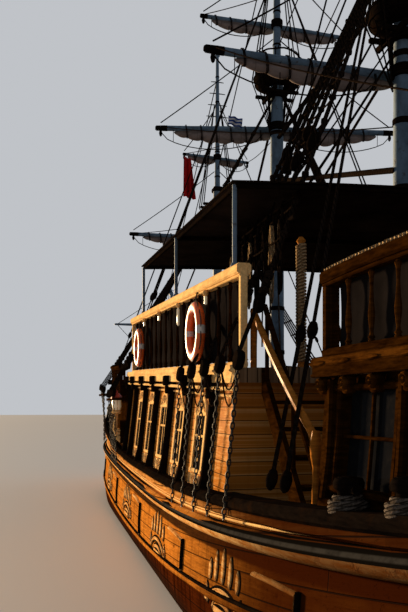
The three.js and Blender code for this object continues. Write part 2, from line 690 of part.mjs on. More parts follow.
function ladderBody({ top, foot, inner, outer, rails }) {
  const steps = 8;
  const [dx, dz] = [foot[0] - top[0], foot[1] - top[1]];
  const at = share => [top[0] + dx * share, top[1] + dz * share];
  const way = Math.sign(dx);
  const string = y => plate([top, [top[0], top[1] - 260], [foot[0] - way * 200, foot[1]],
    [foot[0] + way * 60, foot[1]], [foot[0] + way * 60, foot[1] + 90]], y - 25, y + 25);
  const parts = [string(inner), string(outer)];
  for (let i = 1; i < steps; i++) {
    const [x, z] = at(i / steps);
    parts.push(block(x - 120, x + 110, inner, outer, z - 110, z - 75));
  }
  for (const y of rails) {
    const [high, low] = [[top[0] + way * 30, y, top[1] + 620], [foot[0] - way * 60, y, foot[1] + 820]];
    parts.push(rod(high, low, 30, 30, 8));
    for (const share of [0.06, 0.5, 0.94]) {
      const [x, z] = at(share);
      const rail = high[2] + (low[2] - high[2]) * ((x - high[0]) / (low[0] - high[0]));
      parts.push(rod([x, y, z - 80], [x, y, rail], 22, 22, 8));
    }
  }
  return join(...parts);
}

// Door that opens outwards, on pivots at its port edge; its outer face looks forward (1) or aft (-1)
function doorBody(face, out, floor) {
  const { width, height, thick, clear } = DOOR;
  const [x0, x1] = out > 0 ? [face - thick, face] : [face, face + thick];
  const edge = width / 2 - clear;
  const leaf = block(x0, x1, -edge, edge, floor + clear, floor + height - clear);
  const knob = rod([face - out * 5, 90 - edge, floor + 950], [face + out * 60, 90 - edge, floor + 950], 28);
  const pivot = rod([face - out * 16, edge - 16, floor + GAP], [face - out * 16, edge - 16, floor + 30], 14);
  return join(leaf, knob, pivot);
}

// Ground tackle

function anchorBody(sign, neighbours) {
  const [x, z] = [10900, 2250];
  const side = foreSide(x)(z);
  const y = side + 70;
  const slope = (foreSide(x + 700)(z) - foreSide(x - 700)(z)) / 1400;
  const at = (dx, dz, out = 0) => [x + dx, sign * (y + slope * dx + out), z + dz];
  const arms = [];
  for (const turn of [1, -1]) {
    arms.push(rod(at(-800, 0), at(-650, turn * 330), 45, 38, 6), rod(at(-650, turn * 330), at(-420, turn * 520), 70, 22, 6));
  }
  const body = join(rod(at(-820, 0), at(800, 0), 48, 40, 6), rod(at(640, -520), at(640, 520), 42, 42, 6), ...arms);
  return neighbours.reduce((rest, n) => seatedOn(rest, n, [0, sign, 1], [0, sign, -1], [0, 0, 0]), body);
}

function catheadBody(sign, forecastle) {
  const x = 11900;
  const z = forecastleTop(x) + 70;
  const side = foreSide(x)(z);
  const beam = loft([[x - 500, side - 700], [x + 150, side + 800]].map(([px, y]) => [[px - 80, sign * y, z - 80],
    [px + 80, sign * y, z - 80], [px + 80, sign * y, z + 80], [px - 80, sign * y, z + 80]]));
  return cut(beam, shifted(forecastle, 0, 0, GAP));
}

// Ring of hexagonal section, flat against the balusters
function buoyBody(x, z, sign) {
  const { ring: radius, tube } = BUOY;
  const torus = new THREE.TorusGeometry(radius, tube, 6, 16);
  torus.rotateX(Math.PI / 2);
  torus.translate(x, sign * (RAIL.line + RAIL.square / 2 + tube * Math.cos(Math.PI / 6) + GAP), z);
  return solid(torus);
}

function bittsBody(sign, hull) {
  const line = x => hullSide(x, capHeight(x)) - 15;
  const stations = [-8750, -8400, -7750, -7400];
  const base = loft(stations.map(x => {
    const [y, z] = [sign * line(x), capHeight(x)];
    return [[x, y - 75, z - 40], [x, y + 75, z - 40], [x, y + 75, z + 50], [x, y - 75, z + 50]];
  }));
  const parts = [base];
  for (const [x, head] of [[-7750, 2150], [-8400, 2210]]) {
    const y = sign * line(x);
    parts.push(rod([x, y, capHeight(x) + 20], [x, y, head], 70, 62, 12),
      rod([x - 150, y, head - 70], [x + 150, y, head - 70], 38, 38, 8));
  }
  return cut(join(...parts), shifted(hull, 0, 0, GAP), hull);
}

function sideLanternBody(sign, neighbours) {
  const [x, z] = [3850, 1900];
  const y = foreSide(x)(z);
  const bracket = plate([[x - 60, z - 100], [x + 60, z - 100], [x + 60, z + 420], [x - 60, z + 420]], y - 60, y + 90);
  const arm = plate([[x - 45, z + 220], [x + 45, z + 220], [x + 45, z + 330], [x - 45, z + 330]], y, y + 330);
  const lamp = lanternBody(x, y + 220, z + 320, 440, 270);
  const body = join(bracket, arm, lamp);
  const placed = sign > 0 ? body : body.mirror([0, 1, 0]);
  return neighbours.reduce((rest, n) => cut(rest, shifted(n, 0, sign * GAP, 0)), placed);
}

function skylightBody(forecastle) {
  const [x, z] = [6900, forecastleTop(6900) - FORE.well];
  const ridge = frame([[-600, z - 60], [-600, z + 420], [0, z + 640], [600, z + 420], [600, z - 60]], x - 700, x + 700);
  return cut(ridge, shifted(forecastle, 0, 0, GAP));
}

// Stays: taut ropes down the centreline, seated at both ends

function stayBody(from, to, r, ...neighbours) {
  return neighbours.reduce((rest, n) => cut(rest, n), rod(from, to, r, r, 8));
}

// Assembly

const ship = new THREE.Group();

function add(name, body, finish) {
  const [color, roughness, metalness] = COLOURS[finish];
  const material = new THREE.MeshStandardMaterial({ color, roughness, metalness });
  const mesh = new THREE.Mesh(geometryOf(body), material);
  mesh.name = name;
  ship.add(mesh);
}

const hull = hullBody();
const backbone = backboneBody(hull);
const forecastle = forecastleBody();
const deckhouse = deckhouseBody(hull);
const castle = aftercastleBody(hull);

add('hull', hull, 'hull');
add('backbone', cut(backbone, shifted(forecastle, GAP, 0, 0)), 'hull');
add('rudder', rudderBody(), 'hull');
add('propeller', propellerBody(), 'brass');
add('forecastle', forecastle, 'varnish');
add('deckhouse', deckhouse, 'varnish');
add('deckhouse_door', doorBody(HOUSE.aft - 20, -1, DECK + 60), 'varnish');
add('upper_deck', upperDeckBody(), 'pale');
add('aftercastle', castle, 'varnish');
add('aftercastle_door', doorBody(CASTLE.fore + 20, 1, DECK + 60), 'varnish');
add('poop_deck', poopDeckBody(), 'pale');
add('stern_gallery', sternGalleryBody(hull, castle), 'varnish');
add('stern_lantern', lanternBody(-10480, 0, 4600 + GAP, 420), 'brass');
add('helm_wheel', helmWheelBody(), 'varnish');
add('helm_pedestal', pedestalBody(), 'varnish');

for (const [side, sign] of SIDES) {
  add(`poop_rail_${side}`, poopRailBody(sign), 'pale');
  add(`upper_rail_${side}`, upperRailBody(sign), 'pale');
}
for (const [side, sign] of SIDES) {
  add(`forecastle_rail_${side}`, balustrade({
    from: 5300, to: 11300, pitch: 700, y: x => foreSide(x)(forecastleTop(x)) - 30, sign,
    foot: x => foreEdge(x) + GAP, cap: x => foreEdge(x) + 760,
  }), 'pale');
}
add('awning', awningBody(), 'awning');
add('awning_frame', awningFrameBody(), 'dark');
add('companion_stair', ladderBody({ top: [UPPER.aft - 10, upperDeck(UPPER.aft)], foot: [-6950, DECK + GAP],
  inner: 2650, outer: 3350, rails: [2650, 3350] }), 'pale');
add('poop_ladder', ladderBody({ top: [POOP.fore + 10, POOP.top], foot: [-5600, DECK + GAP],
  inner: -2650, outer: -1950, rails: [-2650] }), 'pale');

for (const [name, mast] of Object.entries(MASTS)) {
  add(`${name}_mast`, mastBody(name), 'spar');
  if (mast.nest) add(`${name}_top`, nestBody(mast), 'dark');
}
for (const row of YARDS) {
  add(`${row[0]}_${row[1]}_yard`, braced(yardBody(row), row), 'spar');
  add(`${row[0]}_${row[1]}_sail`, braced(furledBody(row), row), 'canvas');
}

add('bowsprit', bowspritBar(), 'spar');
const sprit = bowspritBar(GAP);
add('spritsail_yard', cut(rod([16050, -2650, 5950], [16050, 2650, 5950], 75, 75, 12), sprit), 'spar');
const mainMast = mastBar(MASTS.main, GAP);
const foreMast = mastBar(MASTS.fore, GAP);
add('mizzen_stay', stayBody([-2000, 0, 8250], [4000, 0, 6300], 24, mastBar(MASTS.mizzen, GAP), mainMast), 'rope');
add('main_stay', stayBody([4000, 0, 9980], [9800, 0, 4300], 32, mainMast, foreMast), 'rope');
add('fore_stay', stayBody([9800, 0, 8850], [16600, 0, 6540], 28, foreMast, sprit), 'rope');

add('foredeck_skylight', skylightBody(forecastle), 'dark');
for (const [side, sign] of SIDES) {
  add(`anchor_${side}`, anchorBody(sign, [hull, forecastle]), 'iron');
  add(`cathead_${side}`, catheadBody(sign, forecastle), 'dark');
  add(`lifebuoy_aft_${side}`, buoyBody(-3360, 3560, sign), 'orange');
  add(`lifebuoy_fore_${side}`, buoyBody(1780, 3790, sign), 'orange');
  add(`mooring_bitts_${side}`, bittsBody(sign, hull), 'dark');
  add(`side_lantern_${side}`, sideLanternBody(sign, [hull, forecastle]), 'brass');
}

export default ship;
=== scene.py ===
"""Dresses the three-masted tall ship: planking, windows, rails, sails, rigging and ornament over its CAD frame.

Everything is in metres: +X is ahead, +Y to port, +Z up, and z = 0 is the waterline. Each piece is a set of closed
surfaces worked out with numpy, and each finish is a web of shader nodes that reads Object coordinates or the
piece's own lay, a UV map that runs round and along its ropes and cloths.
"""

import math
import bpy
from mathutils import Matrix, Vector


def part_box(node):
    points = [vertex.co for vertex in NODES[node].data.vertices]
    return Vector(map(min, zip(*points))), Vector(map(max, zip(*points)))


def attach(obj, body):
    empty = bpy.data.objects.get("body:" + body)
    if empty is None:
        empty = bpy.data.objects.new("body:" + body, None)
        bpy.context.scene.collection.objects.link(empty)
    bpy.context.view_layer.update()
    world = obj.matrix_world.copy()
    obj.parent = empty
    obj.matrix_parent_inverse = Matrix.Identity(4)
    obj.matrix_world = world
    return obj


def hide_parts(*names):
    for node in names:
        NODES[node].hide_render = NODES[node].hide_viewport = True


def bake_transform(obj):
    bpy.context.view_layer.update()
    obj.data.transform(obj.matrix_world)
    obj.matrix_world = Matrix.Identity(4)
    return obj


bl_info = {
    "name": "Tall Ship Dresser",
    "version": (1, 0, 0),
    "blender": (4, 5, 0),
    "location": "View3D > Sidebar > Tall Ship",
    "description": "Builds the planking, joinery, sails, rigging and ornament of a wooden tall ship over its frame",
    "category": "Object",
}

import bmesh
import bpy
import numpy as np
from bpy.props import FloatProperty, FloatVectorProperty, PointerProperty

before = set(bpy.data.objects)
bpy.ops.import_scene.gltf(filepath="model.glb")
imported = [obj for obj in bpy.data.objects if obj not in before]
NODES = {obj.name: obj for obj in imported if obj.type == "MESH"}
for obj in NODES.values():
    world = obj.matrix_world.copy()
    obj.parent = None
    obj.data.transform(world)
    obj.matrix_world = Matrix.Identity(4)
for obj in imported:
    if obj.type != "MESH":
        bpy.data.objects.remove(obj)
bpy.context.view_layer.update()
SIDES = ((1, "port"), (-1, "starboard"))


# The ship's lines, as the frame has them

STATIONS = np.array([-10.3, -9.5, -8.4, -7, -5, -2.5, 0, 2, 3.66, 5.2, 7, 8.6, 10, 11.2, 12.2, 12.9, 13.25])
BAY = 1.35  # from one window of the deckhouse to the next
WINDOWS = -3.5 + BAY * np.arange(5)
MASTS = {  # station, foot, lower head, truck, radius at the foot, height of the top
    "mizzen": (-2.0, 0.95, 9.3, 14.0, 0.165, 8.5),
    "main": (4.0, 1.9, 11.0, 15.5, 0.18, 10.2),
    "fore": (9.8, 2.4, 9.7, 13.9, 0.16, 9.15),
}
YARDS = {  # height, half length, radius, then tilt and brace in degrees
    "mizzen_lower": (7.905, 3.15, 0.08, 2, 0),
    "mizzen_upper": (10.9, 1.9, 0.062, -2, 0),
    "main_lower": (9.38, 2.935, 0.082, 0.8, -12),
    "main_upper": (11.86, 1.84, 0.064, 5, -6),
    "fore_lower": (8.1, 2.8, 0.076, 0, 0),
    "fore_upper": (10.675, 1.1, 0.055, 3, 0),
}
STAYS = {"mizzen": ((-2, 0, 8.25), (4, 0, 6.3), 0.025), "main": ((4, 0, 9.98), (9.8, 0, 4.3), 0.033),
         "fore": ((9.8, 0, 8.85), (16.6, 0, 6.54), 0.029)}
BOWSPRIT = (np.array([11.9, 0, 2.968]), np.array([18.6, 0, 8.06]), 0.165, 0.075)
AWNING = (-4.96, 1.78, 3.6, 0.04, 0.10)  # aft and fore edge, half breadth, thickness, camber
GALLERY_FACE, CASTLE_FACE = -10.62, -7.1  # after face of the stern gallery, fore face of the aftercastle
POOP_RAIL_FORE = -7.17
TOPMAST_FOOT = 0.58  # radius of a topmast's foot, as a share of its lower mast's
TRUCK_RADIUS = 0.045
DOUBLING = 0.9  # overlap of a topmast with its lower mast
YARDARM = 0.955  # where a yard's lift and brace are made fast, as a share of its half length
SAIL_SHARE = 0.845  # of a yard's half length
BOWS = (-4.9, -1.65, 1.72)  # of the awning's frame
RAIL_LINE = 3.555  # half breadth of the upper balustrade, where the awning's posts stand too
POOP_FLOOR = 2.9703
BRACE_ENDS = {  # where the braces of the lower and the upper yard lead, on the port side
    "mizzen": ((-9.7, 2.6, 3.75), (-9.9, 1.2, 4.3)),
    "main": ((-2.0, 0.17, 7.0), (-2.0, 0.12, 9.9)),
    "fore": ((4.0, 0.19, 7.4), (4.0, 0.15, 9.4)),
}


def size(name):
    """One of the sizes on the panel, in metres, without the rounding of Blender's own number."""
    return round(getattr(bpy.context.scene.ship_sizes, name), 6)


def wale_height(x):
    """Height of the wale: 1.205, and a parabola about x = -1 that is flatter ahead of it."""
    return 1.205 + np.where(x > -1, 0.003, 0.0092) * (x + 1) ** 2


def cap_height(x):
    """Height of the cap rail: a parabola about x = 0.3, less a straight fall away from x = 0."""
    sheer = 1.52 + np.where(x > 0.3, 0.0095, 0.0072) * (x - 0.3) ** 2
    return sheer - np.where(x < 0, 0.02, 0.01) * np.abs(x)


def low_wale_height(x):
    """Height of the lower wale: 0.26, and a parabola about x = 1.8."""
    return 0.26 + np.where(x > 1.8, 0.0078, 0.0086) * (x - 1.8) ** 2


def forecastle_top(x):
    """Height of the forecastle's deck: 2.88, and a parabola about x = 4."""
    return 2.88 + 0.0085 * (x - 4) ** 2


def upper_deck(x):
    """Height of the upper deck, which climbs ahead in a straight line."""
    return 3.22 + 0.041 * x


def upper_rail(x):
    """Height of the upper balustrade's cap, which climbs a little faster than its deck."""
    return 4.36 + 0.0575 * x


def awning_top(x, y):
    """Top of the awning: a straight climb ahead, and a parabola of camber across."""
    return 5.32 + 0.064 * x + AWNING[4] * (1 - (y / AWNING[2]) ** 2)


def house_side(z):
    """Half breadth of the deckhouse, which leans in by 0.109 for each metre of height."""
    return 3.67 - 0.109 * (z - 1.72)


def keel_line(x):
    """Height of the keel: level at -2, then rising as a power of the distance towards each end."""
    rising = -2 + 2 * (np.maximum(x - 8, 0) / 4.6) ** 3
    return np.where(x < -3, -2 + 2.15 * (np.maximum(-3 - x, 0) / 7.3) ** 1.8, rising)


def half_breadth(x):
    """Greatest half breadth: 3.8 amidships, less a power of x towards the bow and the stern."""
    bow = 3.8 * np.maximum(1 - (np.maximum(x, 0) / 13.3) ** 7, 0) ** 0.6
    return np.where(x > 0, bow, 3.8 * (1 - 0.17 * (x / -10.5) ** 6))


def hull_side(x, z):
    """Half breadth at x and z: the breadth of the station, rounded in to the keel below 0.6 m as a superellipse."""
    x, z = np.broadcast_arrays(np.asarray(x, float), np.asarray(z, float))
    keel = keel_line(x)
    upright = np.maximum(0.6, keel + 0.5)
    rise = np.clip((z - keel) / (upright - keel), 0, 1)
    power = 2.6 - 0.9 * (x / 13) ** 2
    fullness = (1 - (1 - rise) ** power) ** (1 / power)
    return half_breadth(x) * fullness * (1 - 0.02 * np.maximum(0, z - 0.6))


def skin_side(x, z):
    """Half breadth of the planking: whichever is wider of the true curve and the frame's straight runs."""
    x, z = np.broadcast_arrays(np.asarray(x, float), np.asarray(z, float))
    aft = np.clip(np.searchsorted(STATIONS, x) - 1, 0, len(STATIONS) - 2)
    share = (x - STATIONS[aft]) / (STATIONS[aft + 1] - STATIONS[aft])
    chord = hull_side(STATIONS[aft], z) * (1 - share) + hull_side(STATIONS[aft + 1], z) * share
    return np.maximum(hull_side(x, z), chord)


def fore_side(x, z):
    """Half breadth of the forecastle, which leans in by a fiftieth for each metre over 0.6."""
    return half_breadth(x) * (1 - 0.02 * np.maximum(0, z - 0.6))


def mast_radius(mast, z):
    """Lower mast tapers to 0.8 of its foot; the topmast from 0.58 of it, 0.9 m below the head, to 45 mm."""
    _, foot, head, truck, r, _ = MASTS[mast]
    foot_radius = r * TOPMAST_FOOT
    topmast = foot_radius + (TRUCK_RADIUS - foot_radius) * (z - head + DOUBLING) / (truck - head + DOUBLING)
    return np.where(z < head, r * (1 - 0.2 * (z - foot) / (head - foot)), topmast)


def poop_side(x):
    """Half breadth of the poop: the hull's at a height of 2.2, less 15 cm."""
    return hull_side(x, 2.2) - 0.1498


def poop_cap(x):
    """Height of the poop rail's cap: 3.63, less a parabola about x = -8.3."""
    return 3.63 - 0.025 * ((x + 8.3) / 1.2) ** 2


def yard_line(yard, y):
    """Point of a yard's centre line at a distance y from the centre of the ship, before it is braced."""
    z, _, radius, tilt, _ = YARDS[yard]
    x = MASTS[yard.split("_")[0]][0] + float(mast_radius(yard.split("_")[0], z)) + 0.04 + radius
    y = np.asarray(y, float)
    return spot(x, y, z + y * math.tan(math.radians(tilt)))


def braced(yard, points):
    """Points of a square yard turned about its mast by the angle it is braced to."""
    x, angle = MASTS[yard.split("_")[0]][0], math.radians(YARDS[yard][4])
    ahead, port = points[..., 0] - x, points[..., 1]
    return spot(x + ahead * math.cos(angle) - port * math.sin(angle),
                ahead * math.sin(angle) + port * math.cos(angle), points[..., 2])


# Surfaces


def spot(x, y, z):
    """Points, or faces, from their three measures."""
    return np.stack(np.broadcast_arrays(x, y, z), -1)


def lattice(rows, columns, wrap=False):
    """Quads of a grid of points, whose columns may close on themselves."""
    i, j = np.meshgrid(np.arange(rows - 1), np.arange(columns if wrap else columns - 1), indexing="ij")
    i, j, k = i.ravel(), j.ravel(), (j.ravel() + 1) % columns
    return np.stack([i * columns + j, i * columns + k, (i + 1) * columns + k, (i + 1) * columns + j], -1)


def sideways(path, up):
    """Unit vectors along, across and over a path: across is up x along, over is along x across."""
    along = np.gradient(path, axis=-2)
    along /= np.linalg.norm(along, axis=-1, keepdims=True) + 1e-12
    across = np.cross(np.broadcast_to(up, along.shape), along)
    across /= np.linalg.norm(across, axis=-1, keepdims=True) + 1e-12
    return along, across, np.cross(along, across)


def steady(span):
    """An axis well off each span: ahead for one that stands upright, and up for any other."""
    upright = np.abs(span[..., 2]) > 0.8 * np.linalg.norm(span, axis=-1)
    return np.where(upright[..., None], [1.0, 0, 0], [0, 0, 1.0])


def travelled(path):
    """Distance along a path at each of its points."""
    return np.concatenate([[0], np.cumsum(np.linalg.norm(np.diff(path, axis=0), axis=-1))])


def points_at(at, marks, path):
    """Points of a path where its marks, such as its distances, reach each value of at."""
    return np.stack([np.interp(at, marks, path[:, k]) for k in range(3)], -1)


def circle(sides):
    """Points (cos a, sin a) at even steps of a."""
    turn = np.arange(sides) / sides * 2 * math.pi
    return np.stack([np.cos(turn), np.sin(turn)], -1)


def round_turn(count):
    """Angles that go once round in even steps."""
    return np.linspace(0, 2 * math.pi, count + 1)[:-1]


def hoop(x, reach, z, count):
    """Level ring amidships: (x + reach cos a, reach sin a, z)."""
    turn = round_turn(count)
    return spot(x + reach * np.cos(turn), reach * np.sin(turn), z)


def end_fans(length, sides):
    """Triangles from the ends of a swept grid, length rows long, to the two poles that follow its points."""
    k, last = np.arange(sides), (length - 1) * sides
    after = (k + 1) % sides
    return np.concatenate([spot(after, k, length * sides), spot(k + last, after + last, length * sides + 1)])


def wound_lay(sides, along):
    """Lay of each quad's corners: the share of the way round, and the distance along."""
    i, j = (v.ravel() for v in np.meshgrid(np.arange(len(along) - 1), np.arange(sides), indexing="ij"))
    corners = [np.stack([(j + dj) / sides, along[i + di]], -1) for di, dj in ((0, 0), (0, 1), (1, 1), (1, 0))]
    return np.stack(corners, 1)


def oblong(wide, tall, soften=0.15):
    """Eight corners of a rectangle with its corners taken off by a share of its shorter side."""
    cut = min(wide, tall) * soften
    w, t = wide / 2, tall / 2
    return np.array([[w, -t + cut], [w, t - cut], [w - cut, t], [-w + cut, t], [-w, t - cut], [-w, -t + cut],
                     [-w + cut, -t], [w - cut, -t]])


class Mould:
    """Gathers the closed patches of one piece and makes its mesh.

    A patch is k copies of n points that share their faces. The volume of each copy is the sum over its faces of
    a . (b x c) / 6, and where it is negative the copy's faces are turned over, so that all of them face outwards.
    """

    def __init__(self):
        self.points, self.faces, self.marks, self.finishes, self.count = [], [], [], [], 0

    def add(self, points, quads, triangles=(), finish=0, lay=None):
        """Add a patch, whose lay gives the UV of each corner of its quads."""
        points = np.asarray(points, float)
        points = points.reshape(-1, *points.shape[-2:])
        copies, size = points.shape[:2]
        centred = points - points.mean(1, keepdims=True)
        blocks = [np.asarray(block, int).reshape(-1, width) for block, width in ((quads, 4), (triangles, 3))]
        volume = np.zeros(copies)
        for block in blocks:
            for i in range(1, block.shape[1] - 1):
                a, b, c = (centred[:, block[:, k]] for k in (0, i, i + 1))
                volume += np.einsum("kmi,kmi->k", a, np.cross(b, c))
        for block in blocks:
            if not len(block):
                continue
            stack = block[None] + (self.count + size * np.arange(copies))[:, None, None]
            marks = np.zeros(stack.shape + (2,))
            if lay is not None and block.shape[1] == 4:
                marks[:, :len(lay)] = lay
            stack[volume < 0] = stack[volume < 0][..., ::-1]
            marks[volume < 0] = marks[volume < 0][..., ::-1, :]
            self.faces.append(stack.reshape(-1, block.shape[1]))
            self.marks.append(marks.reshape(-1, 2))
            self.finishes.append(np.full(copies * len(block), finish))
        self.points.append(points.reshape(-1, 3))
        self.count += copies * size
        return self

    def sweep(self, path, ring, scale=1.0, up=(0, 0, 1), closed=False, finish=0):
        """A ring (a, b) carried along a path: each point is path + scale (a across + b over).

        Open paths get a pole in the middle of each end. The lay runs 0 to 1 round the ring, and in metres along.
        """
        path = np.asarray(path, float)
        path = path.reshape(-1, *path.shape[-2:])
        copies, length, sides = path.shape[0], path.shape[1], len(ring)
        if closed:
            rolled = np.concatenate([path[:, -1:], path, path[:, :1]], 1)
            _, across, over = (v[:, 1:-1] for v in sideways(rolled, up))
        else:
            _, across, over = sideways(path, up)
        scale = np.asarray(scale, float)
        if scale.ndim < 3:
            scale = np.stack([np.broadcast_to(scale, (copies, length))] * 2, -1)
        a, b = ring.T
        points = (path[:, :, None] + (a * scale[..., :1])[..., None] * across[:, :, None]
                  + (b * scale[..., 1:])[..., None] * over[:, :, None]).reshape(copies, -1, 3)
        rows = length + 1 if closed else length
        quads = lattice(rows, sides, wrap=True) % (length * sides)
        step = np.linalg.norm(np.diff(path[0], axis=0), axis=-1)
        along = np.concatenate([[0], np.cumsum(step), [np.sum(step) + step[-1]]])[:rows]
        triangles = ()
        if not closed:
            points = np.concatenate([points, path[:, [0, -1]]], 1)
            triangles = end_fans(length, sides)
        return self.add(points, quads, triangles, finish, wound_lay(sides, along))

    def upright(self, place, u, low, high, section, out, up=(1.0, 0, 0), steps=3, scale=1.0):
        """Bar up a surface at u, from low to high, that stands out from it."""
        return self.sweep(place(u, np.linspace(low, high, steps), out), section, scale, up)

    def level(self, place, v, start, end, section, out):
        """Bar along a surface at v, from start to end, that stands out from it."""
        return self.sweep(place(np.linspace(start, end, 3), v, out), section)

    def rods(self, starts, ends, start_radius, end_radius=None, sides=6, steps=1, sag=0.0):
        """Straight rods, or ropes that sag: the height drops by 4 sag t (1 - t) along t from 0 to 1."""
        starts, ends = np.atleast_2d(starts).astype(float), np.atleast_2d(ends).astype(float)
        starts, ends = np.broadcast_arrays(starts, ends)
        t = np.linspace(0, 1, steps + 1)
        path = starts[:, None] + (ends - starts)[:, None] * t[:, None]
        path[..., 2] -= 4 * t * (1 - t) * np.reshape(sag, (-1, 1))
        start_radius = np.broadcast_to(np.reshape(start_radius, (-1, 1)), (len(starts), 1))
        last = start_radius if end_radius is None else np.reshape(end_radius, (-1, 1))
        up = steady(ends - starts)[:, None]
        return self.sweep(path, circle(sides), start_radius + (last - start_radius) * t, up)

    def turn(self, profile, feet, heads, sides=10, finish=0):
        """Turned pieces: a profile of (radius, share of the height) carried from each foot to its head."""
        feet, heads = np.broadcast_arrays(np.atleast_2d(feet).astype(float), np.atleast_2d(heads).astype(float))
        radius, share = np.array(profile, float).T
        span = heads - feet
        path = feet[:, None] + span[:, None] * share[:, None]
        straight = feet[:, None] + span[:, None] * np.linspace(0, 1, len(share))[:, None]
        _, across, over = sideways(straight, steady(span)[:, None])
        ring = circle(sides)
        reach = radius[:, None, None]
        points = (path[:, :, None] + ring[:, :1] * reach * across[:, :, None]
                  + ring[:, 1:] * reach * over[:, :, None]).reshape(len(feet), -1, 3)
        points = np.concatenate([points, path[:, [0, -1]]], 1)
        return self.add(points, lattice(len(share), sides, wrap=True), end_fans(len(share), sides), finish)

    def shell(self, outer, inner):
        """Closed wall between two grids of points, joined round their edges."""
        outer, inner = np.asarray(outer, float), np.asarray(inner, float)
        rows, columns = outer.shape[:2]
        n = rows * columns
        face = lattice(rows, columns)
        i, j = np.arange(rows), np.arange(columns)
        rim = np.concatenate([j, i[1:] * columns + columns - 1, (rows - 1) * columns + j[::-1][1:],
                              i[::-1][1:-1] * columns])
        after = np.roll(rim, -1)
        border = np.stack([rim, rim + n, after + n, after], -1)
        points = np.concatenate([outer.reshape(-1, 3), inner.reshape(-1, 3)])
        i, j = np.meshgrid(np.arange(rows - 1), np.arange(columns - 1), indexing="ij")
        i, j = i.ravel() / (rows - 1), j.ravel() / (columns - 1)
        one, two = 1 / (rows - 1), 1 / (columns - 1)
        lay = np.stack([np.stack([j, i], -1), np.stack([j + two, i], -1), np.stack([j + two, i + one], -1),
                        np.stack([j, i + one], -1)], 1)
        return self.add(points, np.concatenate([face, face[:, ::-1] + n, border]), lay=lay)

    def plate(self, place, u, v, outer, inner):
        """Plate over a grid of a surface's two measures, between two heights above it."""
        return self.shell(place(u, v, outer), place(u, v, inner))

    def blocks(self, one, other, soften, finish=0):
        """Block between two opposite corners, with every edge and corner taken off by soften."""
        one, other = np.atleast_2d(one).astype(float), np.atleast_2d(other).astype(float)
        centre, half = (one + other) / 2, np.abs(other - one) / 2
        signs = np.array([[i, j, k] for i in (-1, 1) for j in (-1, 1) for k in (-1, 1)], float)
        corners = np.stack([signs] * 3, 1)
        cut = np.minimum(soften, half.min(1) * 0.4)
        shrink = (1 - np.eye(3))[None] * corners
        points = centre[:, None, None] + corners[None] * half[:, None, None] - shrink[None] * cut[:, None, None, None]
        quads, triangles = BLOCK_FACES
        return self.add(points.reshape(len(centre), 24, 3), quads, triangles, finish)

    def stroke(self, path, widths, height, place, finish=0, crease=0.0):
        """Carved line on a surface: half a lens across the path, w cos a wide and h sin a high, with a crease.

        The path and widths are in the surface's own two measures, and place maps (u, v, height) to points.
        """
        path = np.asarray(path, float)
        path = path.reshape(-1, *path.shape[-2:])
        widths = np.broadcast_to(widths, path.shape[:2])
        along = np.gradient(path, axis=-2)
        along /= np.linalg.norm(along, axis=-1, keepdims=True) + 1e-12
        across = np.stack([-along[..., 1], along[..., 0]], -1)
        turn = np.linspace(0, math.pi, 7)
        lift = np.sin(turn) * (1 - crease * np.exp(-(np.cos(turn) / 0.25) ** 2))
        ring = np.concatenate([np.stack([np.cos(turn), lift], -1), [[-0.9, -0.7], [0.9, -0.7]]])
        flat = path[:, :, None] + across[:, :, None] * (ring[:, 0] * widths[..., None])[..., None]
        tall = np.broadcast_to(np.asarray(height, float), path.shape[:2])
        high = ring[:, 1] * (tall * np.minimum(1, widths / (widths.max(-1, keepdims=True) + 1e-9) * 1.6))[..., None]
        points = place(flat[..., 0], flat[..., 1], high)
        copies, length, sides = path.shape[0], path.shape[1], len(ring)
        poles = place(path[:, [0, -1], 0], path[:, [0, -1], 1], np.zeros((copies, 2)))
        points = np.concatenate([points.reshape(copies, -1, 3), poles], 1)
        return self.add(points, lattice(length, sides, wrap=True), end_fans(length, sides), finish)

    def piece(self, name, finishes, body="root", slot=None, replaces=(), smooth=38, yard=None):
        """The mesh of all the patches, as one object at the origin that rides on a body."""
        mesh = bpy.data.meshes.new(name)
        points = np.concatenate(self.points)
        if yard:
            points = braced(yard, points)
        mesh.vertices.add(len(points))
        mesh.vertices.foreach_set("co", points.ravel())
        loops = np.concatenate([block.ravel() for block in self.faces])
        sizes = np.concatenate([np.full(len(block), block.shape[1]) for block in self.faces])
        mesh.loops.add(len(loops))
        mesh.loops.foreach_set("vertex_index", loops)
        mesh.polygons.add(len(sizes))
        mesh.polygons.foreach_set("loop_start", np.concatenate([[0], np.cumsum(sizes)[:-1]]))
        mesh.polygons.foreach_set("material_index", np.concatenate(self.finishes))
        mesh.polygons.foreach_set("use_smooth", np.ones(len(sizes), bool))
        mesh.update(calc_edges=True)
        mesh.uv_layers.new(name="lay").data.foreach_set("uv", np.concatenate(self.marks).ravel())
        mesh.validate()
        mesh.set_sharp_from_angle(angle=math.radians(smooth))
        for finish in [finishes] if isinstance(finishes, str) else finishes:
            mesh.materials.append(finish_named(finish))
        made = bpy.data.objects.new(name, mesh)
        bpy.context.scene.collection.objects.link(made)
        if body:
            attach(made, body)
        if replaces:
            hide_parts(*replaces)
        return made


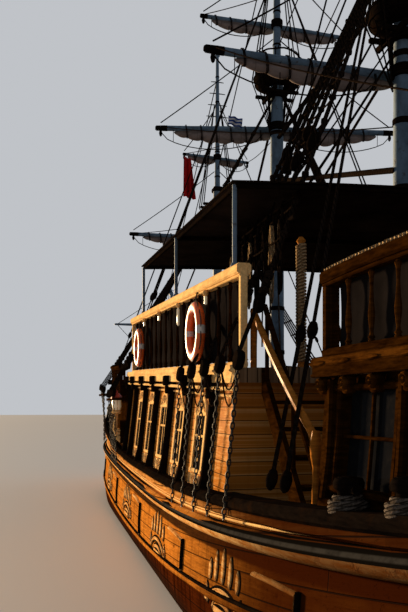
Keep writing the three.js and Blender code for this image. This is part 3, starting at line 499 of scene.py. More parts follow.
def block_faces():
    """Faces of a softened block: six sides, twelve edges and eight corners, each turned to face away from its middle.

    Its 24 points are, for each corner, the three that keep their full reach along one axis.
    """
    signs = [(i, j, k) for i in (-1, 1) for j in (-1, 1) for k in (-1, 1)]
    points = np.array([[s if axis == keep else s * 0.8 for axis, s in enumerate(corner)]
                       for corner in signs for keep in range(3)])

    def at(axis, sign, one, a, two, b, keep):
        key = [0, 0, 0]
        key[axis], key[one], key[two] = sign, a, b
        return signs.index(tuple(key)) * 3 + keep

    quads, triangles = [], [[n * 3, n * 3 + 1, n * 3 + 2] for n in range(8)]
    for axis in range(3):
        one, two = [other for other in range(3) if other != axis]
        for sign in (-1, 1):
            quads.append([at(axis, sign, one, a, two, b, axis) for a, b in ((-1, -1), (1, -1), (1, 1), (-1, 1))])
        for a, b in ((-1, -1), (1, -1), (1, 1), (-1, 1)):
            quads.append([at(axis, sign, one, a, two, b, keep)
                          for sign, keep in ((-1, one), (1, one), (1, two), (-1, two))])
    outward = []
    for faces in (np.array(quads), np.array(triangles)):
        corners = points[faces]
        normal = np.cross(corners[:, 1] - corners[:, 0], corners[:, 2] - corners[:, 0])
        inside = np.einsum("ij,ij->i", normal, corners.mean(1)) < 0
        faces[inside] = faces[inside][:, ::-1]
        outward.append(faces)
    return outward


BLOCK_FACES = block_faces()


def helix(foot, head, radius, turns, start=0.0, per_turn=14):
    """Path of a rope wound about the line from foot to head: radius (cos a, sin a) as a goes round turns times."""
    foot, head = np.asarray(foot, float), np.asarray(head, float)
    t = np.linspace(0, 1, int(turns * per_turn) + 1)
    line = foot + (head - foot) * t[:, None]
    _, across, over = sideways(line, steady(head - foot))
    angle = start + t * turns * 2 * math.pi
    return line + radius * (np.cos(angle)[:, None] * across + np.sin(angle)[:, None] * over)


# Shader webs


class Wire:
    """A number in a material's web. Arithmetic on wires lays the Math nodes that work it out."""

    def __init__(self, web, socket):
        self.web, self.socket = web, socket

    def math(self, operation, *others):
        """A Math node over this wire and the others."""
        return self.web.node("ShaderNodeMath", {"operation": operation}, dict(enumerate((self, *others))))

    def __add__(self, other):
        return self.math("ADD", other)

    def __mul__(self, other):
        return self.math("MULTIPLY", other)

    def __sub__(self, other):
        return self.math("SUBTRACT", other)

    def __truediv__(self, other):
        return self.math("DIVIDE", other)

    def __rsub__(self, other):
        return self.web.node("ShaderNodeMath", {"operation": "SUBTRACT"}, {0: other, 1: self})

    __radd__, __rmul__ = __add__, __mul__

    def rise(self, low, high):
        """0 below low, 1 above high and a smooth step between them."""
        return self.web.node("ShaderNodeMapRange", {"interpolation_type": "SMOOTHSTEP"},
                             {"Value": self, "From Min": low, "From Max": high})

    def near(self, value, reach, soft):
        """1 within reach of a value, falling smoothly to 0 over soft."""
        return 1 - (self - value).math("ABSOLUTE").rise(reach, reach + soft)


class Web:
    """The node web of one material, with its shader and its Object coordinates ready."""

    def __init__(self, name):
        self.material = bpy.data.materials.new(name)
        self.material.use_nodes = True
        self.tree = self.material.node_tree
        self.shader = self.tree.nodes["Principled BSDF"]
        self.place = self.node("ShaderNodeTexCoord", out="Object")
        self.x, self.y, self.z = (self.node("ShaderNodeSeparateXYZ", inputs={0: self.place}, out=i) for i in range(3))

    def node(self, kind, settings=None, inputs=None, out=0):
        """A node of one kind: its settings come first, a ramp's stops among them, then its values or wires."""
        made = self.tree.nodes.new(kind)
        for key, value in (settings or {}).items():
            if key == "stops":
                for _ in range(len(value) - len(made.color_ramp.elements)):
                    made.color_ramp.elements.new(0.5)
                for element, (at, colour) in zip(made.color_ramp.elements, value):
                    element.position, element.color = at, (*colour[:3], 1)
            else:
                setattr(made, key, value)
        for key, value in (inputs or {}).items():
            if isinstance(value, Wire):
                self.tree.links.new(value.socket, made.inputs[key])
            else:
                made.inputs[key].default_value = value
        return Wire(self, made.outputs[out])

    def lay(self):
        """Round and along: the two measures of the piece's own UV map."""
        uv = self.node("ShaderNodeUVMap", {"uv_map": "lay"})
        return [self.node("ShaderNodeSeparateXYZ", inputs={0: uv}, out=i) for i in (0, 1)]

    def vector(self, x, y, z):
        """A vector of three numbers or wires."""
        return self.node("ShaderNodeCombineXYZ", inputs={0: x, 1: y, 2: z})

    def noise(self, vector, scale, detail=3.0, roughness=0.55):
        """Fractal noise over a vector."""
        return self.node("ShaderNodeTexNoise", inputs={"Vector": vector, "Scale": scale, "Detail": detail,
                                                       "Roughness": roughness})

    def ramp(self, factor, *stops):
        """A colour from stops, each its place and its colour."""
        return self.node("ShaderNodeValToRGB", {"stops": stops}, {"Fac": factor})

    def mix(self, factor, one, two):
        """A colour between two others, by a factor."""
        return self.node("ShaderNodeMix", {"data_type": "RGBA"},
                         {0: factor, 6: rgba(one), 7: rgba(two)}, out=2)

    def bump(self, height, strength, distance):
        """A normal raised by a height."""
        return self.node("ShaderNodeBump", inputs={"Height": height, "Strength": strength, "Distance": distance})

    def set(self, **values):
        """Values or wires for the shader's sockets, named with _ for each space."""
        for key, value in values.items():
            socket = self.shader.inputs[key.replace("_", " ")]
            if isinstance(value, Wire):
                self.tree.links.new(value.socket, socket)
            else:
                socket.default_value = rgba(value) if len(np.shape(value)) else value
        return self


def rgba(colour):
    """A colour with its fourth value, or a wire as it is."""
    return colour if isinstance(colour, Wire) else (*tuple(colour)[:3], 1.0)


def tint(colour, share):
    """A colour made darker or lighter by a share."""
    return tuple(min(1.0, c * share) for c in tuple(colour)[:3])


def planking(web, along, across, width, length, gap=0.004):
    """Rows of planks. Returns the caulked seams, a random tone for each plank, and the grain along it."""
    row = (across / width).math("FLOOR")
    run = along / length + (row * 0.618).math("FRACT")
    plank = run.math("FLOOR")
    edge = (0.5 - ((across / width).math("FRACT") - 0.5).math("ABSOLUTE")) * width
    butt = (0.5 - (run.math("FRACT") - 0.5).math("ABSOLUTE")) * length
    seam = 1 - edge.math("MINIMUM", butt).rise(gap * 0.5, gap * 1.6)
    tone = web.node("ShaderNodeTexWhiteNoise", {"noise_dimensions": "2D"}, {"Vector": web.vector(row, plank, 0)})
    grain = web.noise(web.vector(along * 0.9, across * 16, tone * 40 + row), 2.6, 5.0, 0.62)
    return seam, tone, grain


# Finishes


def varnished(web, seam, tone, grain, light, deep, rough=0.46, coat=0.02, depth=0.006):
    """Varnished planks: each has its own tone, with grain, black seams and a coat that wears off in patches."""
    wood = web.ramp(grain, (0.28, tint(deep, 0.5)), (0.5, deep), (0.72, light))
    wood = web.mix(tone * 0.55, wood, tint(deep, 0.85))
    stain = web.noise(web.place, 0.9, 6.0, 0.68).rise(0.42, 0.75)
    wood = web.mix(stain * 0.35, wood, tint(deep, 0.4))
    drips = web.noise(web.vector(web.x * 7, web.y * 7, web.z * 0.7), 1.5, 4.0).rise(0.5, 0.75)
    wood = web.mix(drips * 0.25, wood, tint(deep, 0.45))
    wood = web.mix(seam * 0.92, wood, (0.012, 0.008, 0.006))
    height = grain * 0.25 - seam + tone * 0.15
    web.set(Base_Color=wood, Roughness=grain * 0.22 + (rough - 0.08) + stain * 0.2,
            Coat_Weight=(1 - stain) * coat * (1 - seam), Coat_Roughness=0.2, Specular_IOR_Level=0.0,
            Normal=web.bump(height, 0.8, depth))


def sheered(web, base, fore, aft, middle):
    """Height above a line that rises as base + k (x - middle)^2, with k = fore ahead of the middle and aft abaft."""
    ahead = web.x - middle
    return web.z - base - ahead * ahead * (ahead.math("GREATER_THAN", 0) * (fore - aft) + aft)


def hull_oak(web, colours):
    """Strakes that follow the sheer: gold above the wale, a painted shadow under it, gold panels, then a red, streaked
    bottom, all darkened by painted shade towards the stern.
    """
    sheer = sheered(web, 0.26, 0.0078, 0.0086, 1.8)
    wale = sheered(web, 1.205, 0.003, 0.0092, -1)
    seam, tone, grain = planking(web, web.x, sheer + 0.04, size("strake_width"), size("strake_length"), 0.005)
    high = sheer.rise(-0.06, 0.02)
    # painted shade: this mask darkens the planking to near black towards the stern, where the side lies in shade
    aft = 1 - web.x.rise(-6.9, -2.2)
    light = web.mix(wale.rise(0.05, 0.12) * 0.35, tint(colours.varnish, 1.15), colours.trim)
    light = web.mix(high, tint(colours.bottom, 0.24), light)
    deep = web.mix(high, tint(colours.bottom, 0.05), tint(colours.varnish, 0.4))
    wood = web.mix(grain.rise(0.25, 0.75), deep, light)
    wood = web.mix(tone * 0.35, wood, web.mix(0.5, deep, light))
    stain = web.noise(web.place, 1.1, 7.0, 0.72).rise(0.42, 0.70)
    wood = web.mix(stain * 0.38, wood, tint(colours.bottom, 0.45))
    drips = web.noise(web.vector(web.x * 5, web.y * 2, web.z * 0.35), 1.6, 5.0, 0.62).rise(0.47, 0.66)
    wood = web.mix(drips * (1 - high * 0.7), wood, tint(colours.bottom, 0.03))
    specks = web.noise(web.vector(web.x, 0, sheer * 2.2), 14, 5.0, 0.75).rise(0.56, 0.68)
    wood = web.mix(specks * 0.35, wood, tint(colours.bottom, 0.3))
    knots = web.node("ShaderNodeTexVoronoi", {"feature": "F1"},
                     {"Vector": web.vector(web.x * 0.8, 0, sheer * 1.4), "Scale": 2.2}).rise(0.03, 0.10)
    wood = web.mix((1 - knots) * 0.7, wood, tint(colours.bottom, 0.06))
    # painted shadow: a near black band just under the wale, where the wale's shadow falls
    shade = wale.near(-0.155, 0.05, 0.035) * (1 - web.x.rise(9, 11))
    wood = web.mix(shade * 0.92, wood, (0.010, 0.006, 0.004))
    wet = 1 - web.z.rise(0.02, 0.3)
    wood = web.mix(wet * 0.8, wood, (0.014, 0.008, 0.006))
    weed = web.noise(web.place, 6, 5.0, 0.7).rise(0.42, 0.6) * (1 - web.z.rise(-0.4, 0.12))
    wood = web.mix(weed * 0.6, wood, (0.03, 0.038, 0.014))
    wood = web.mix(aft * 0.97, wood, tint(colours.bottom, 0.10))
    wood = web.mix(seam * 0.8, wood, (0.008, 0.005, 0.004))
    web.set(Base_Color=wood, Roughness=grain * 0.2 + 0.45 + stain * 0.2 - wet * 0.2, Specular_IOR_Level=0.0,
            Normal=web.bump(grain * 0.4 - seam + tone * 0.2 - (1 - knots) * 0.2 - specks * 0.25, 0.9, 0.010))


def wale_paint(web, colours):
    """Black paint on the upper half of the wale, with a painted highlight along its nose: a grey streak broken by
    chips, placed by the lay that runs round it.
    """
    around, _ = web.lay()
    chips = web.noise(web.place, 9, 5.0, 0.7)
    # painted highlight: the grey streak along the nose stands in for the sky's reflection on the black paint
    rub = around.near(0.30, 0.04, 0.06) * chips.rise(0.1, 0.6)
    web.set(Base_Color=web.mix(rub * 0.25, (0.004, 0.0035, 0.003), (0.11, 0.105, 0.10)), Roughness=0.62 + chips * 0.2,
            Specular_IOR_Level=0.0, Normal=web.bump(chips, 0.3, 0.003))


def wale_gold(web, colours):
    """Varnish on the rounded lower half of the wale, knocked and stained along it, and darkened by painted shade
    towards the stern.
    """
    grain = web.noise(web.vector(web.x * 1.2, web.y * 9, web.z * 12), 2.2, 6.0, 0.66)
    knocks = web.noise(web.place, 7, 6.0, 0.75).rise(0.5, 0.68)
    wood = web.mix(grain.rise(0.3, 0.7), tint(colours.varnish, 0.75), tint(colours.trim, 0.95))
    wood = web.mix(knocks * 0.5, wood, tint(colours.bottom, 0.5))
    # painted shade: darker towards the stern, where the side lies in shade
    wood = web.mix((1 - web.x.rise(-7.6, -3.8)) * 0.88, wood, tint(colours.bottom, 0.16))
    web.set(Base_Color=wood, Roughness=0.45 + grain * 0.2, Specular_IOR_Level=0.0,
            Normal=web.bump(grain - knocks * 0.6, 0.7, 0.006))


def old_oak(dark, light):
    """Finish of old varnished oak: from a near black to a red-brown glow where the light catches it."""
    def finish(web, colours):
        grain = web.noise(web.vector(web.x * 4, web.y * 4, web.z * 22), 1.8, 5.0, 0.62)
        stain = web.noise(web.place, 1.6, 6.0, 0.7).rise(0.4, 0.72)
        wood = web.mix(grain.rise(0.25, 0.75), tint(colours.varnish, dark), tint(colours.varnish, light))
        wood = web.mix(stain * 0.6, wood, tint(colours.bottom, light * 0.4))
        web.set(Base_Color=wood, Roughness=0.42 + grain * 0.2, Specular_IOR_Level=0.0,
                Normal=web.bump(grain, 0.5, 0.003))

    return finish


def house_oak(web, colours):
    """Level planks of the deckhouse, gold where their grain is light."""
    seam, tone, grain = planking(web, web.x, web.z, size("house_plank"), 2.2, 0.0035)
    varnished(web, seam, tone, grain, tint(colours.trim, 1.05), tint(colours.varnish, 0.8))


def end_oak(web, colours):
    """Upright planks of the stern gallery, in a darker varnish."""
    seam, tone, grain = planking(web, web.z, web.y, 0.13, 2.6, 0.004)
    varnished(web, seam, tone, grain, tint(colours.varnish, 0.75), tint(colours.varnish, 0.34))


def joinery(web, colours):
    """Varnished joinery without seams, glossier than the planks."""
    grain = web.noise(web.vector(web.x * 3, web.y * 3, web.z * 26), 1.6, 5.0, 0.6)
    none = web.x * 0
    varnished(web, none, web.noise(web.place, 0.7, 2.0), grain, colours.varnish, tint(colours.varnish, 0.5), 0.32,
              0.06, 0.002)


def pale_rail(web, colours):
    """Pale gold paint over wood, worn to the wood on its edges and grimy in its hollows."""
    grain = web.noise(web.vector(web.x * 2, web.y * 14, web.z * 14), 2.2, 5.0, 0.62)
    stain = web.noise(web.place, 1.8, 6.0, 0.7).rise(0.42, 0.74)
    speck = web.noise(web.place, 30, 4.0, 0.7).rise(0.52, 0.72)
    paint = web.mix(grain.rise(0.35, 0.75), colours.trim, tint(colours.trim, 0.72))
    paint = web.mix(stain * 0.45, paint, tint(colours.varnish, 0.45))
    paint = web.mix(speck * 0.35, paint, tint(colours.varnish, 0.25))
    web.set(Base_Color=paint, Roughness=grain * 0.2 + 0.42, Specular_IOR_Level=0.0,
            Normal=web.bump(grain * 0.6 - speck * 0.5, 0.5, 0.003))


def deck_planks(web, colours):
    """Scrubbed deck planks with caulked seams, darker where they are trodden."""
    seam, tone, grain = planking(web, web.x, web.y, size("deck_plank"), 2.8, 0.005)
    wood = web.ramp(grain, (0.25, (0.10, 0.062, 0.034)), (0.55, (0.24, 0.155, 0.085)), (0.8, (0.36, 0.25, 0.15)))
    wood = web.mix(tone * 0.4, wood, (0.13, 0.085, 0.05))
    tread = web.noise(web.place, 0.7, 5.0, 0.6).rise(0.4, 0.7)
    wood = web.mix(tread * 0.4, wood, (0.07, 0.05, 0.036))
    wood = web.mix(seam * 0.95, wood, (0.01, 0.009, 0.008))
    web.set(Base_Color=wood, Roughness=grain * 0.2 + 0.55, Specular_IOR_Level=0.0,
            Normal=web.bump(grain * 0.4 - seam, 0.7, 0.005))


def dark_timber(web, colours):
    """Tarred timber: near black, with brown showing where it is rubbed."""
    grain = web.noise(web.vector(web.x * 4, web.y * 4, web.z * 18), 1.8, 5.0, 0.65)
    rub = web.noise(web.place, 3.2, 5.0, 0.7).rise(0.5, 0.78)
    wood = web.ramp(grain, (0.3, (0.003, 0.0023, 0.002)), (0.7, (0.009, 0.006, 0.0045)))
    wood = web.mix(rub * 0.25, wood, tint(colours.varnish, 0.07))
    web.set(Base_Color=wood, Roughness=grain * 0.3 + 0.42, Specular_IOR_Level=0.0, Normal=web.bump(grain, 0.5, 0.004))


def spar_paint(web, colours):
    """Grey-blue paint on the spars, rubbed and streaked along them."""
    streak = web.noise(web.vector(web.x * 5, web.y * 1.2, web.z * 1.2), 2.0, 5.0, 0.66)
    chips = web.noise(web.place, 9, 6.0, 0.72).rise(0.56, 0.66)
    paint = web.mix(streak.rise(0.3, 0.75), colours.spar, tint(colours.spar, 0.5))
    paint = web.mix(chips * 0.65, paint, (0.05, 0.034, 0.022))
    web.set(Base_Color=paint, Roughness=0.42 + streak * 0.25, Specular_IOR_Level=0.1,
            Normal=web.bump(streak - chips, 0.5, 0.003))


def sail_canvas(web, colours):
    """Weathered sailcloth: a plain weave, seams every half metre across it, mildew and tan stains, and painted shade
    along its folds.
    """
    around, _ = web.lay()
    weave = (web.x * 900).math("SINE") * (web.y * 900).math("SINE")
    broad = web.noise(web.vector(web.x * 2.5, web.y, web.z * 2.5), 1.7, 6.0, 0.68)
    mildew = web.noise(web.place, 7, 5.0, 0.7).rise(0.52, 0.76)
    seam = (web.y / 0.52).math("FRACT").near(0.5, 0.012, 0.012)
    cloth = web.ramp(broad, (0.25, tint(colours.canvas, 0.5)), (0.5, colours.canvas),
                     (0.8, tint(colours.canvas, 1.35)))
    cloth = web.mix(mildew * 0.45, cloth, (0.13, 0.10, 0.075))
    cloth = web.mix(seam * 0.5, cloth, tint(colours.canvas, 0.45))
    # painted shade: the cloth is darkened along two lengthwise bands round the furl, where the bump makes its folds
    folds = (around * 12.566 + broad * 5).math("SINE")
    cloth = web.mix(folds.rise(0.2, 1) * 0.5, cloth, tint(colours.canvas, 0.3))
    web.set(Base_Color=cloth, Roughness=0.82 + broad * 0.12, Specular_IOR_Level=0.0,
            Normal=web.bump(weave * 0.08 + folds * 0.5 + broad, 0.6, 0.008))


def cloth_finish(light=None, dark=None):
    """Plain woven cloth between a light and a dark tone, or in two tones of the awning's colour."""

    def lay_out(web, colours):
        one, two = (light, dark) if dark else (colours.awning, tint(colours.awning, 0.4))
        thread = (web.x * 700).math("SINE") * (web.y * 700 + web.z * 350).math("SINE")
        broad = web.noise(web.place, 1.9, 5.0, 0.66)
        cloth = web.mix(broad.rise(0.3, 0.75), one, two)
        fade = web.noise(web.place, 5.5, 4.0, 0.6).rise(0.5, 0.8)
        cloth = web.mix(fade * 0.25, cloth, tint(one, 1.6))
        web.set(Base_Color=cloth, Roughness=0.85 + broad * 0.1, Specular_IOR_Level=0.0,
                Normal=web.bump(thread * 0.2 + broad * 0.5, 0.4, 0.003))

    return lay_out


def rope_finish(light, dark, rough=0.55):
    """Laid rope: three strands that wind round it once in each 9 cm, by the lay's two measures."""

    def lay_out(web, colours):
        around, along = web.lay()
        strand = ((around * 3.0 + along / 0.09) * 2 * math.pi).math("SINE")
        groove = strand.rise(-1.0, -0.2)
        fibre = web.noise(web.vector(web.x * 8, web.y * 8, web.z * 8), 6, 4.0, 0.7)
        yarn = web.mix(fibre.rise(0.3, 0.75), dark, light)
        # painted shade: the grooves between the strands are darkened
        yarn = web.mix((1 - groove) * 0.8, yarn, tint(dark, 0.35))
        web.set(Base_Color=yarn, Roughness=rough + fibre * 0.3, Specular_IOR_Level=0.0,
                Normal=web.bump(groove + fibre * 0.3, 0.9, 0.01))

    return lay_out


def metal_finish(colour, dark, metallic, rough):
    """Worked metal that has tarnished in patches and is pitted."""

    def lay_out(web, colours):
        patch = web.noise(web.place, 5, 6.0, 0.7).rise(0.4, 0.7)
        pits = web.noise(web.place, 45, 4.0, 0.7)
        web.set(Base_Color=web.mix(patch, colour, dark), Metallic=(1 - patch * 0.6) * metallic,
                Roughness=patch * 0.25 + pits * 0.12 + rough, Normal=web.bump(pits, 0.35, 0.002))

    return lay_out


def buoy_orange(web, colours):
    """Painted cork ring with four grey-white bands, placed by its lay: round the tube and along the ring."""
    _, along = web.lay()
    bands = ((along / 0.4948 + 0.5).math("FRACT")).near(0.5, 0.085, 0.01)
    grime = web.noise(web.place, 7, 5.0, 0.7).rise(0.4, 0.75)
    skin = web.mix(grime * 0.5, colours.buoy, tint(colours.buoy, 0.45))
    skin = web.mix(bands, skin, (0.62, 0.60, 0.58))
    web.set(Base_Color=skin, Roughness=0.42 + grime * 0.25, Coat_Weight=(1 - grime) * 0.25, Coat_Roughness=0.3,
            Normal=web.bump(grime + bands, 0.4, 0.003))


def window_glass(web, colours):
    """Dark old glass with a slow ripple, dusty in patches."""
    ripple = web.noise(web.place, 3.5, 3.0)
    dust = web.noise(web.place, 14, 5.0, 0.7).rise(0.45, 0.8)
    web.set(Base_Color=web.mix(dust * 0.3, (0.006, 0.006, 0.007), (0.03, 0.024, 0.018)), Roughness=dust * 0.2 + 0.06,
            Coat_Weight=0.06, Coat_Roughness=0.04, Specular_IOR_Level=0.0, Normal=web.bump(ripple, 0.25, 0.02))


def lamp_glass(web, colours):
    """Frosted lamp glass, cream with a faint warm glow."""
    frost = web.noise(web.place, 40, 4.0)
    web.set(Base_Color=web.mix(frost, (0.86, 0.80, 0.66), (0.70, 0.62, 0.48)), Roughness=frost * 0.2 + 0.18,
            Emission_Color=(1.0, 0.78, 0.45), Emission_Strength=0.12, Normal=web.bump(frost, 0.3, 0.002))


def gilding(web, colours):
    """Carving picked out in pale gold, brown in its hollows where the bole shows."""
    worn = web.noise(web.place, 11, 6.0, 0.72).rise(0.45, 0.72)
    leaf = web.noise(web.place, 60, 3.0)
    gold = web.mix(leaf, tint(colours.trim, 1.1), tint(colours.trim, 0.8))
    gold = web.mix(worn * 0.55, gold, tint(colours.varnish, 0.35))
    web.set(Base_Color=gold, Roughness=worn * 0.25 + 0.35, Coat_Weight=(1 - worn) * 0.02,
            Coat_Roughness=0.2, Specular_IOR_Level=0.0, Normal=web.bump(worn + leaf * 0.4, 0.4, 0.003))


def floor_finish(web, colours):
    """Plain pale floor."""
    web.set(Base_Color=(0.80, 0.79, 0.77), Roughness=0.6)


FINISHES = {
    "hull_oak": hull_oak, "wale_paint": wale_paint, "wale_gold": wale_gold, "house_oak": house_oak, "end_oak": end_oak,
    "joinery": joinery, "pale_rail": pale_rail, "gilding": gilding, "deck_planks": deck_planks,
    "dark_timber": dark_timber, "spar_paint": spar_paint, "sail_canvas": sail_canvas, "window_glass": window_glass,
    "lamp_glass": lamp_glass, "buoy_orange": buoy_orange, "floor_finish": floor_finish,
    # painted shade: this oak is made near black, as dark as the aftercastle's shaded side, and serves all the dark
    # joinery
    "shade_dark_oak": old_oak(0.012, 0.055),
    "worn_oak": old_oak(0.03, 0.14),
    "awning_cloth": cloth_finish(),
    "red_bunting": cloth_finish((0.42, 0.012, 0.012), (0.2, 0.006, 0.008)),
    "blue_bunting": cloth_finish((0.02, 0.06, 0.26), (0.012, 0.03, 0.13)),
    "white_bunting": cloth_finish((0.6, 0.6, 0.62), (0.4, 0.4, 0.43)),
    # painted shade: near black cloth, hung inside the rails where there is only shade
    "black_cloth": cloth_finish((0.012, 0.01, 0.01), (0.006, 0.005, 0.005)),
    "tarred_rope": rope_finish((0.026, 0.016, 0.010), (0.006, 0.0045, 0.004)),
    "manila_rope": rope_finish((0.50, 0.36, 0.20), (0.22, 0.13, 0.06), rough=0.7),
    "grey_rope": rope_finish((0.17, 0.14, 0.115), (0.045, 0.035, 0.028), rough=0.7),
    "iron": metal_finish((0.009, 0.008, 0.0075), (0.014, 0.007, 0.004), 0.05, 0.65),
    "red_lead": metal_finish((0.36, 0.045, 0.02), (0.12, 0.03, 0.02), 0.1, 0.35),
    "brass": metal_finish((0.62, 0.40, 0.14), (0.20, 0.12, 0.05), 0.95, 0.22),
    "bronze": metal_finish((0.45, 0.24, 0.10), (0.10, 0.12, 0.08), 0.9, 0.3),
}
MADE = {}


def finish_named(name):
    """The material of a finish, made when it is first asked for."""
    if name not in MADE:
        web = Web(name)
        FINISHES[name](web, bpy.context.scene.ship_colours)
        MADE[name] = web.material
    return MADE[name]


def refinish(finish, *nodes):
    """Give frame pieces that stay in sight their real finish."""
    for node in nodes:
        for slot in NODES[node].material_slots:
            slot.material = finish_named(finish)


# Pieces of the hull


def side_points(x, z, out, sign):
    """Points of the ship's side, out from its planking."""
    return spot(x, sign * (skin_side(x, z) + out), np.broadcast_to(z, np.shape(x)))


def lay_hull():
    """Planking skin over each side from the keel to the cap rail, with the wales and the cap rail along it."""
    x = np.unique(np.concatenate([np.linspace(-10.3, 13.25, 90), STATIONS, np.linspace(11, 13.25, 24)]))
    t = np.linspace(0, 1, 34) ** 0.8
    low, high = keel_line(x) + 0.015, cap_height(x) - 0.02
    z = low[:, None] + (high - low)[:, None] * t
    grid = np.broadcast_to(x[:, None], z.shape)
    skin = Mould()
    for sign, _ in SIDES:
        outer = side_points(grid, z, 0.014, sign)
        inner = side_points(grid, z, -0.05, sign)
        inner[..., 1] = sign * np.maximum(sign * inner[..., 1], 0.004)
        skin.shell(outer, inner)
    skin.piece("hull_planking", "hull_oak", slot="hull_planks")
    run = x[x < 12.95]
    wales, beads, caps = Mould(), Mould(), Mould()
    turn = np.radians([0, 18, 36, 54, 72, 90])
    nose = np.stack([0.127 * np.cos(turn), 0.096 * np.sin(turn)], -1)
    upper = np.concatenate([[[-0.06, 0]], nose, [[-0.06, 0.096]]])
    for sign, _ in SIDES:
        line = side_points(run, wale_height(run), 0.0, sign)
        wales.sweep(line, upper * [sign, 1])
        wales.sweep(line, upper * [sign, -1], finish=1)
        line = side_points(run, cap_height(run), 0.0, sign)
        caps.sweep(line, (oblong(0.335, 0.128, 0.3) + [-0.035, 0.036]) * [sign, 1])
        beads.sweep(line, (oblong(0.13, 0.05, 0.35) + [0.02, -0.055]) * [sign, 1])
        at = run[run < 12.5]
        line = side_points(at, low_wale_height(at), 0.0, sign)
        beads.sweep(line, (oblong(0.09, 0.075, 0.4) + [0.004, 0]) * [sign, 1])
        caps.sweep(line, (oblong(0.10, 0.03, 0.3) + [0.004, 0.052]) * [sign, 1])
        for offset, out, thick in ((0.125, 0.016, 0.013), (0.155, 0.014, 0.008)):
            beads.sweep(side_points(run, wale_height(run) + offset, out, sign), circle(6) * thick, finish=1)
    wales.piece("wales", ["wale_paint", "wale_gold"], slot="dark_timber")
    caps.piece("cap_rails", "dark_timber", slot="dark_timber")
    beads.piece("sheer_beads", ["wale_gold", "pale_rail"], slot="pale_rail")
    refinish("hull_oak", "hull", "backbone", "rudder")
    refinish("bronze", "propeller")
    refinish("iron", "anchor_port", "anchor_starboard")
    refinish("dark_timber", "cathead_port", "cathead_starboard", "mooring_bitts_port", "mooring_bitts_starboard")


def spiral(u, v, size, turns, hand, start=0.0, count=26):
    """A scroll in two measures: radius size (1 - 0.86 t) as the angle goes round turns times, by hand."""
    t = np.linspace(0, 1, count)
    angle = start + hand * turns * 2 * math.pi * t
    radius = size * (1 - 0.86 * t)
    return np.stack([u + radius * np.cos(angle), v + radius * np.sin(angle)], -1)


def arc(u, v, wide, tall, start, end):
    """Part of an ellipse: (u + wide cos a, v + tall sin a) as a goes from start to end."""
    angle = np.linspace(start, end, 14)
    return np.stack([u + wide * np.cos(angle), v + tall * np.sin(angle)], -1)


LEAF_POINTS = 11
SWELL = np.sin(np.linspace(0.12, 0.97, LEAF_POINTS) * math.pi) ** 0.8


def leaf(u, v, long, angle, curl):
    """Spine of a leaf that sets off at an angle and bends by curl along its length."""
    t = np.linspace(0, 1, LEAF_POINTS)
    heading = angle + curl * t
    step = long / (LEAF_POINTS - 1)
    return np.stack([u + np.cumsum(np.cos(heading)) * step, v + np.cumsum(np.sin(heading)) * step], -1)


def on_side(sign):
    """Maps (x, height over the wale, height off the planking) to the ship's side."""
    def place(u, v, high):
        z = wale_height(u) + v
        return spot(u, sign * (skin_side(u, z) + 0.016 + high), z)

    return place


def on_wall(sign, reach):
    """Maps (x, z, height) to an upright wall, reach out from amidships."""
    return lambda u, v, high: spot(u, sign * (reach + high), v)


def on_end(x, hand):
    """Maps (y, z, height) to a wall across the ship that faces ahead or aft, by hand."""
    return lambda u, v, high: spot(x + hand * high, u, v)


def carve_reliefs():
    """Palmette reliefs along the side under the wale, each ringed by painted shade in a near black finish, and the
    panels between, whose bars and battens have painted shadows beside them.
    """
    carving, frames = Mould(), Mould()
    for sign, _ in SIDES:
        place = on_side(sign)
        for x in (-9.1, -5.3, -1.5, 2.3, 6.1, 9.4):
            strokes = [(leaf(x + at, -0.56, long, math.pi / 2 - at * 0.6, at * 1.2), 0.062 * SWELL, 0.02)
                       for at, long in ((-0.46, 0.22), (-0.22, 0.31), (0.02, 0.36), (0.26, 0.32), (0.48, 0.22))]
            strokes += [(arc(x, -0.84, wide, tall, 0.25, 2.9), 0.026, 0.018)
                        for wide, tall in ((0.58, 0.24), (0.36, 0.13))]
            strokes += [(spiral(x + hand * 0.62, -0.70, 0.09, 1.3, hand, math.pi / 2), 0.022, 0.018)
                        for hand in (-1, 1)]
            for path, width, high in strokes:
                carve_with_shade_outline(carving, path, width, high, place)
            # painted shade: each gold bar lies on a wider, lower near black stroke that rings it with shade
            for finish, (half, width, high) in enumerate(((0.24, 0.05, 0.025), (0.27, 0.07, 0.02))):
                frames.stroke([[x - half, -0.80], [x, -0.80], [x + half, -0.80]], width, high, place, finish)
            edge = x + 1.92
            foot = float(low_wale_height(edge) - wale_height(edge)) + 0.09
            corners = [[edge, foot], [edge, (foot - 0.3) / 2], [edge, -0.30], [edge + 0.5, -0.27],
                       [edge + 0.95, -0.26]]
            # painted shadow: a near black stroke on the aft side of each gold batten
            frames.stroke(np.array(corners) + [0.03, -0.03], 0.022, 0.035, place)
            frames.stroke(corners[:3], 0.022, 0.04, place, finish=1)
    carving.piece("side_reliefs", ["wale_gold", "dark_timber"], slot="pale_rail")
    frames.piece("side_battens", ["wale_gold", "dark_timber"], slot="pale_rail")


def carve_with_shade_outline(mould, path, width, high, place):
    """A carved stroke ringed by painted shade: a wider, lower stroke of the second finish, near black, under it."""
    # painted shade: the near black stroke under each carved stroke stands for the shade round it
    mould.stroke(path, np.add(width, 0.028), high * 0.35, place, finish=1)
    mould.stroke(path, width, high, place, crease=0.5)


# The deckhouse


def on_house(sign):
    """Maps (x, z, height) to the sloping wall of the deckhouse."""
    return lambda u, v, high: spot(u, sign * (house_side(v) + high), v)


def spray(mould, place, u, v, reach, leaves, curl, high, scroll):
    """Leaves that fan out on both sides of u, with a scroll beside each fan, each stroke ringed by painted shade."""
    away, lift, wide, turns, turned, count, width, deep = scroll
    for hand in (-1, 1):
        for long, angle, swell, rise in leaves:
            heading = angle if hand > 0 else math.pi - angle
            carve_with_shade_outline(mould, leaf(u + hand * reach, v + rise, long, heading, curl * hand), swell * SWELL, high, place)
        carve_with_shade_outline(mould, spiral(u + hand * away, v + lift, wide, turns, turned * hand, 0, count), width, deep, place)


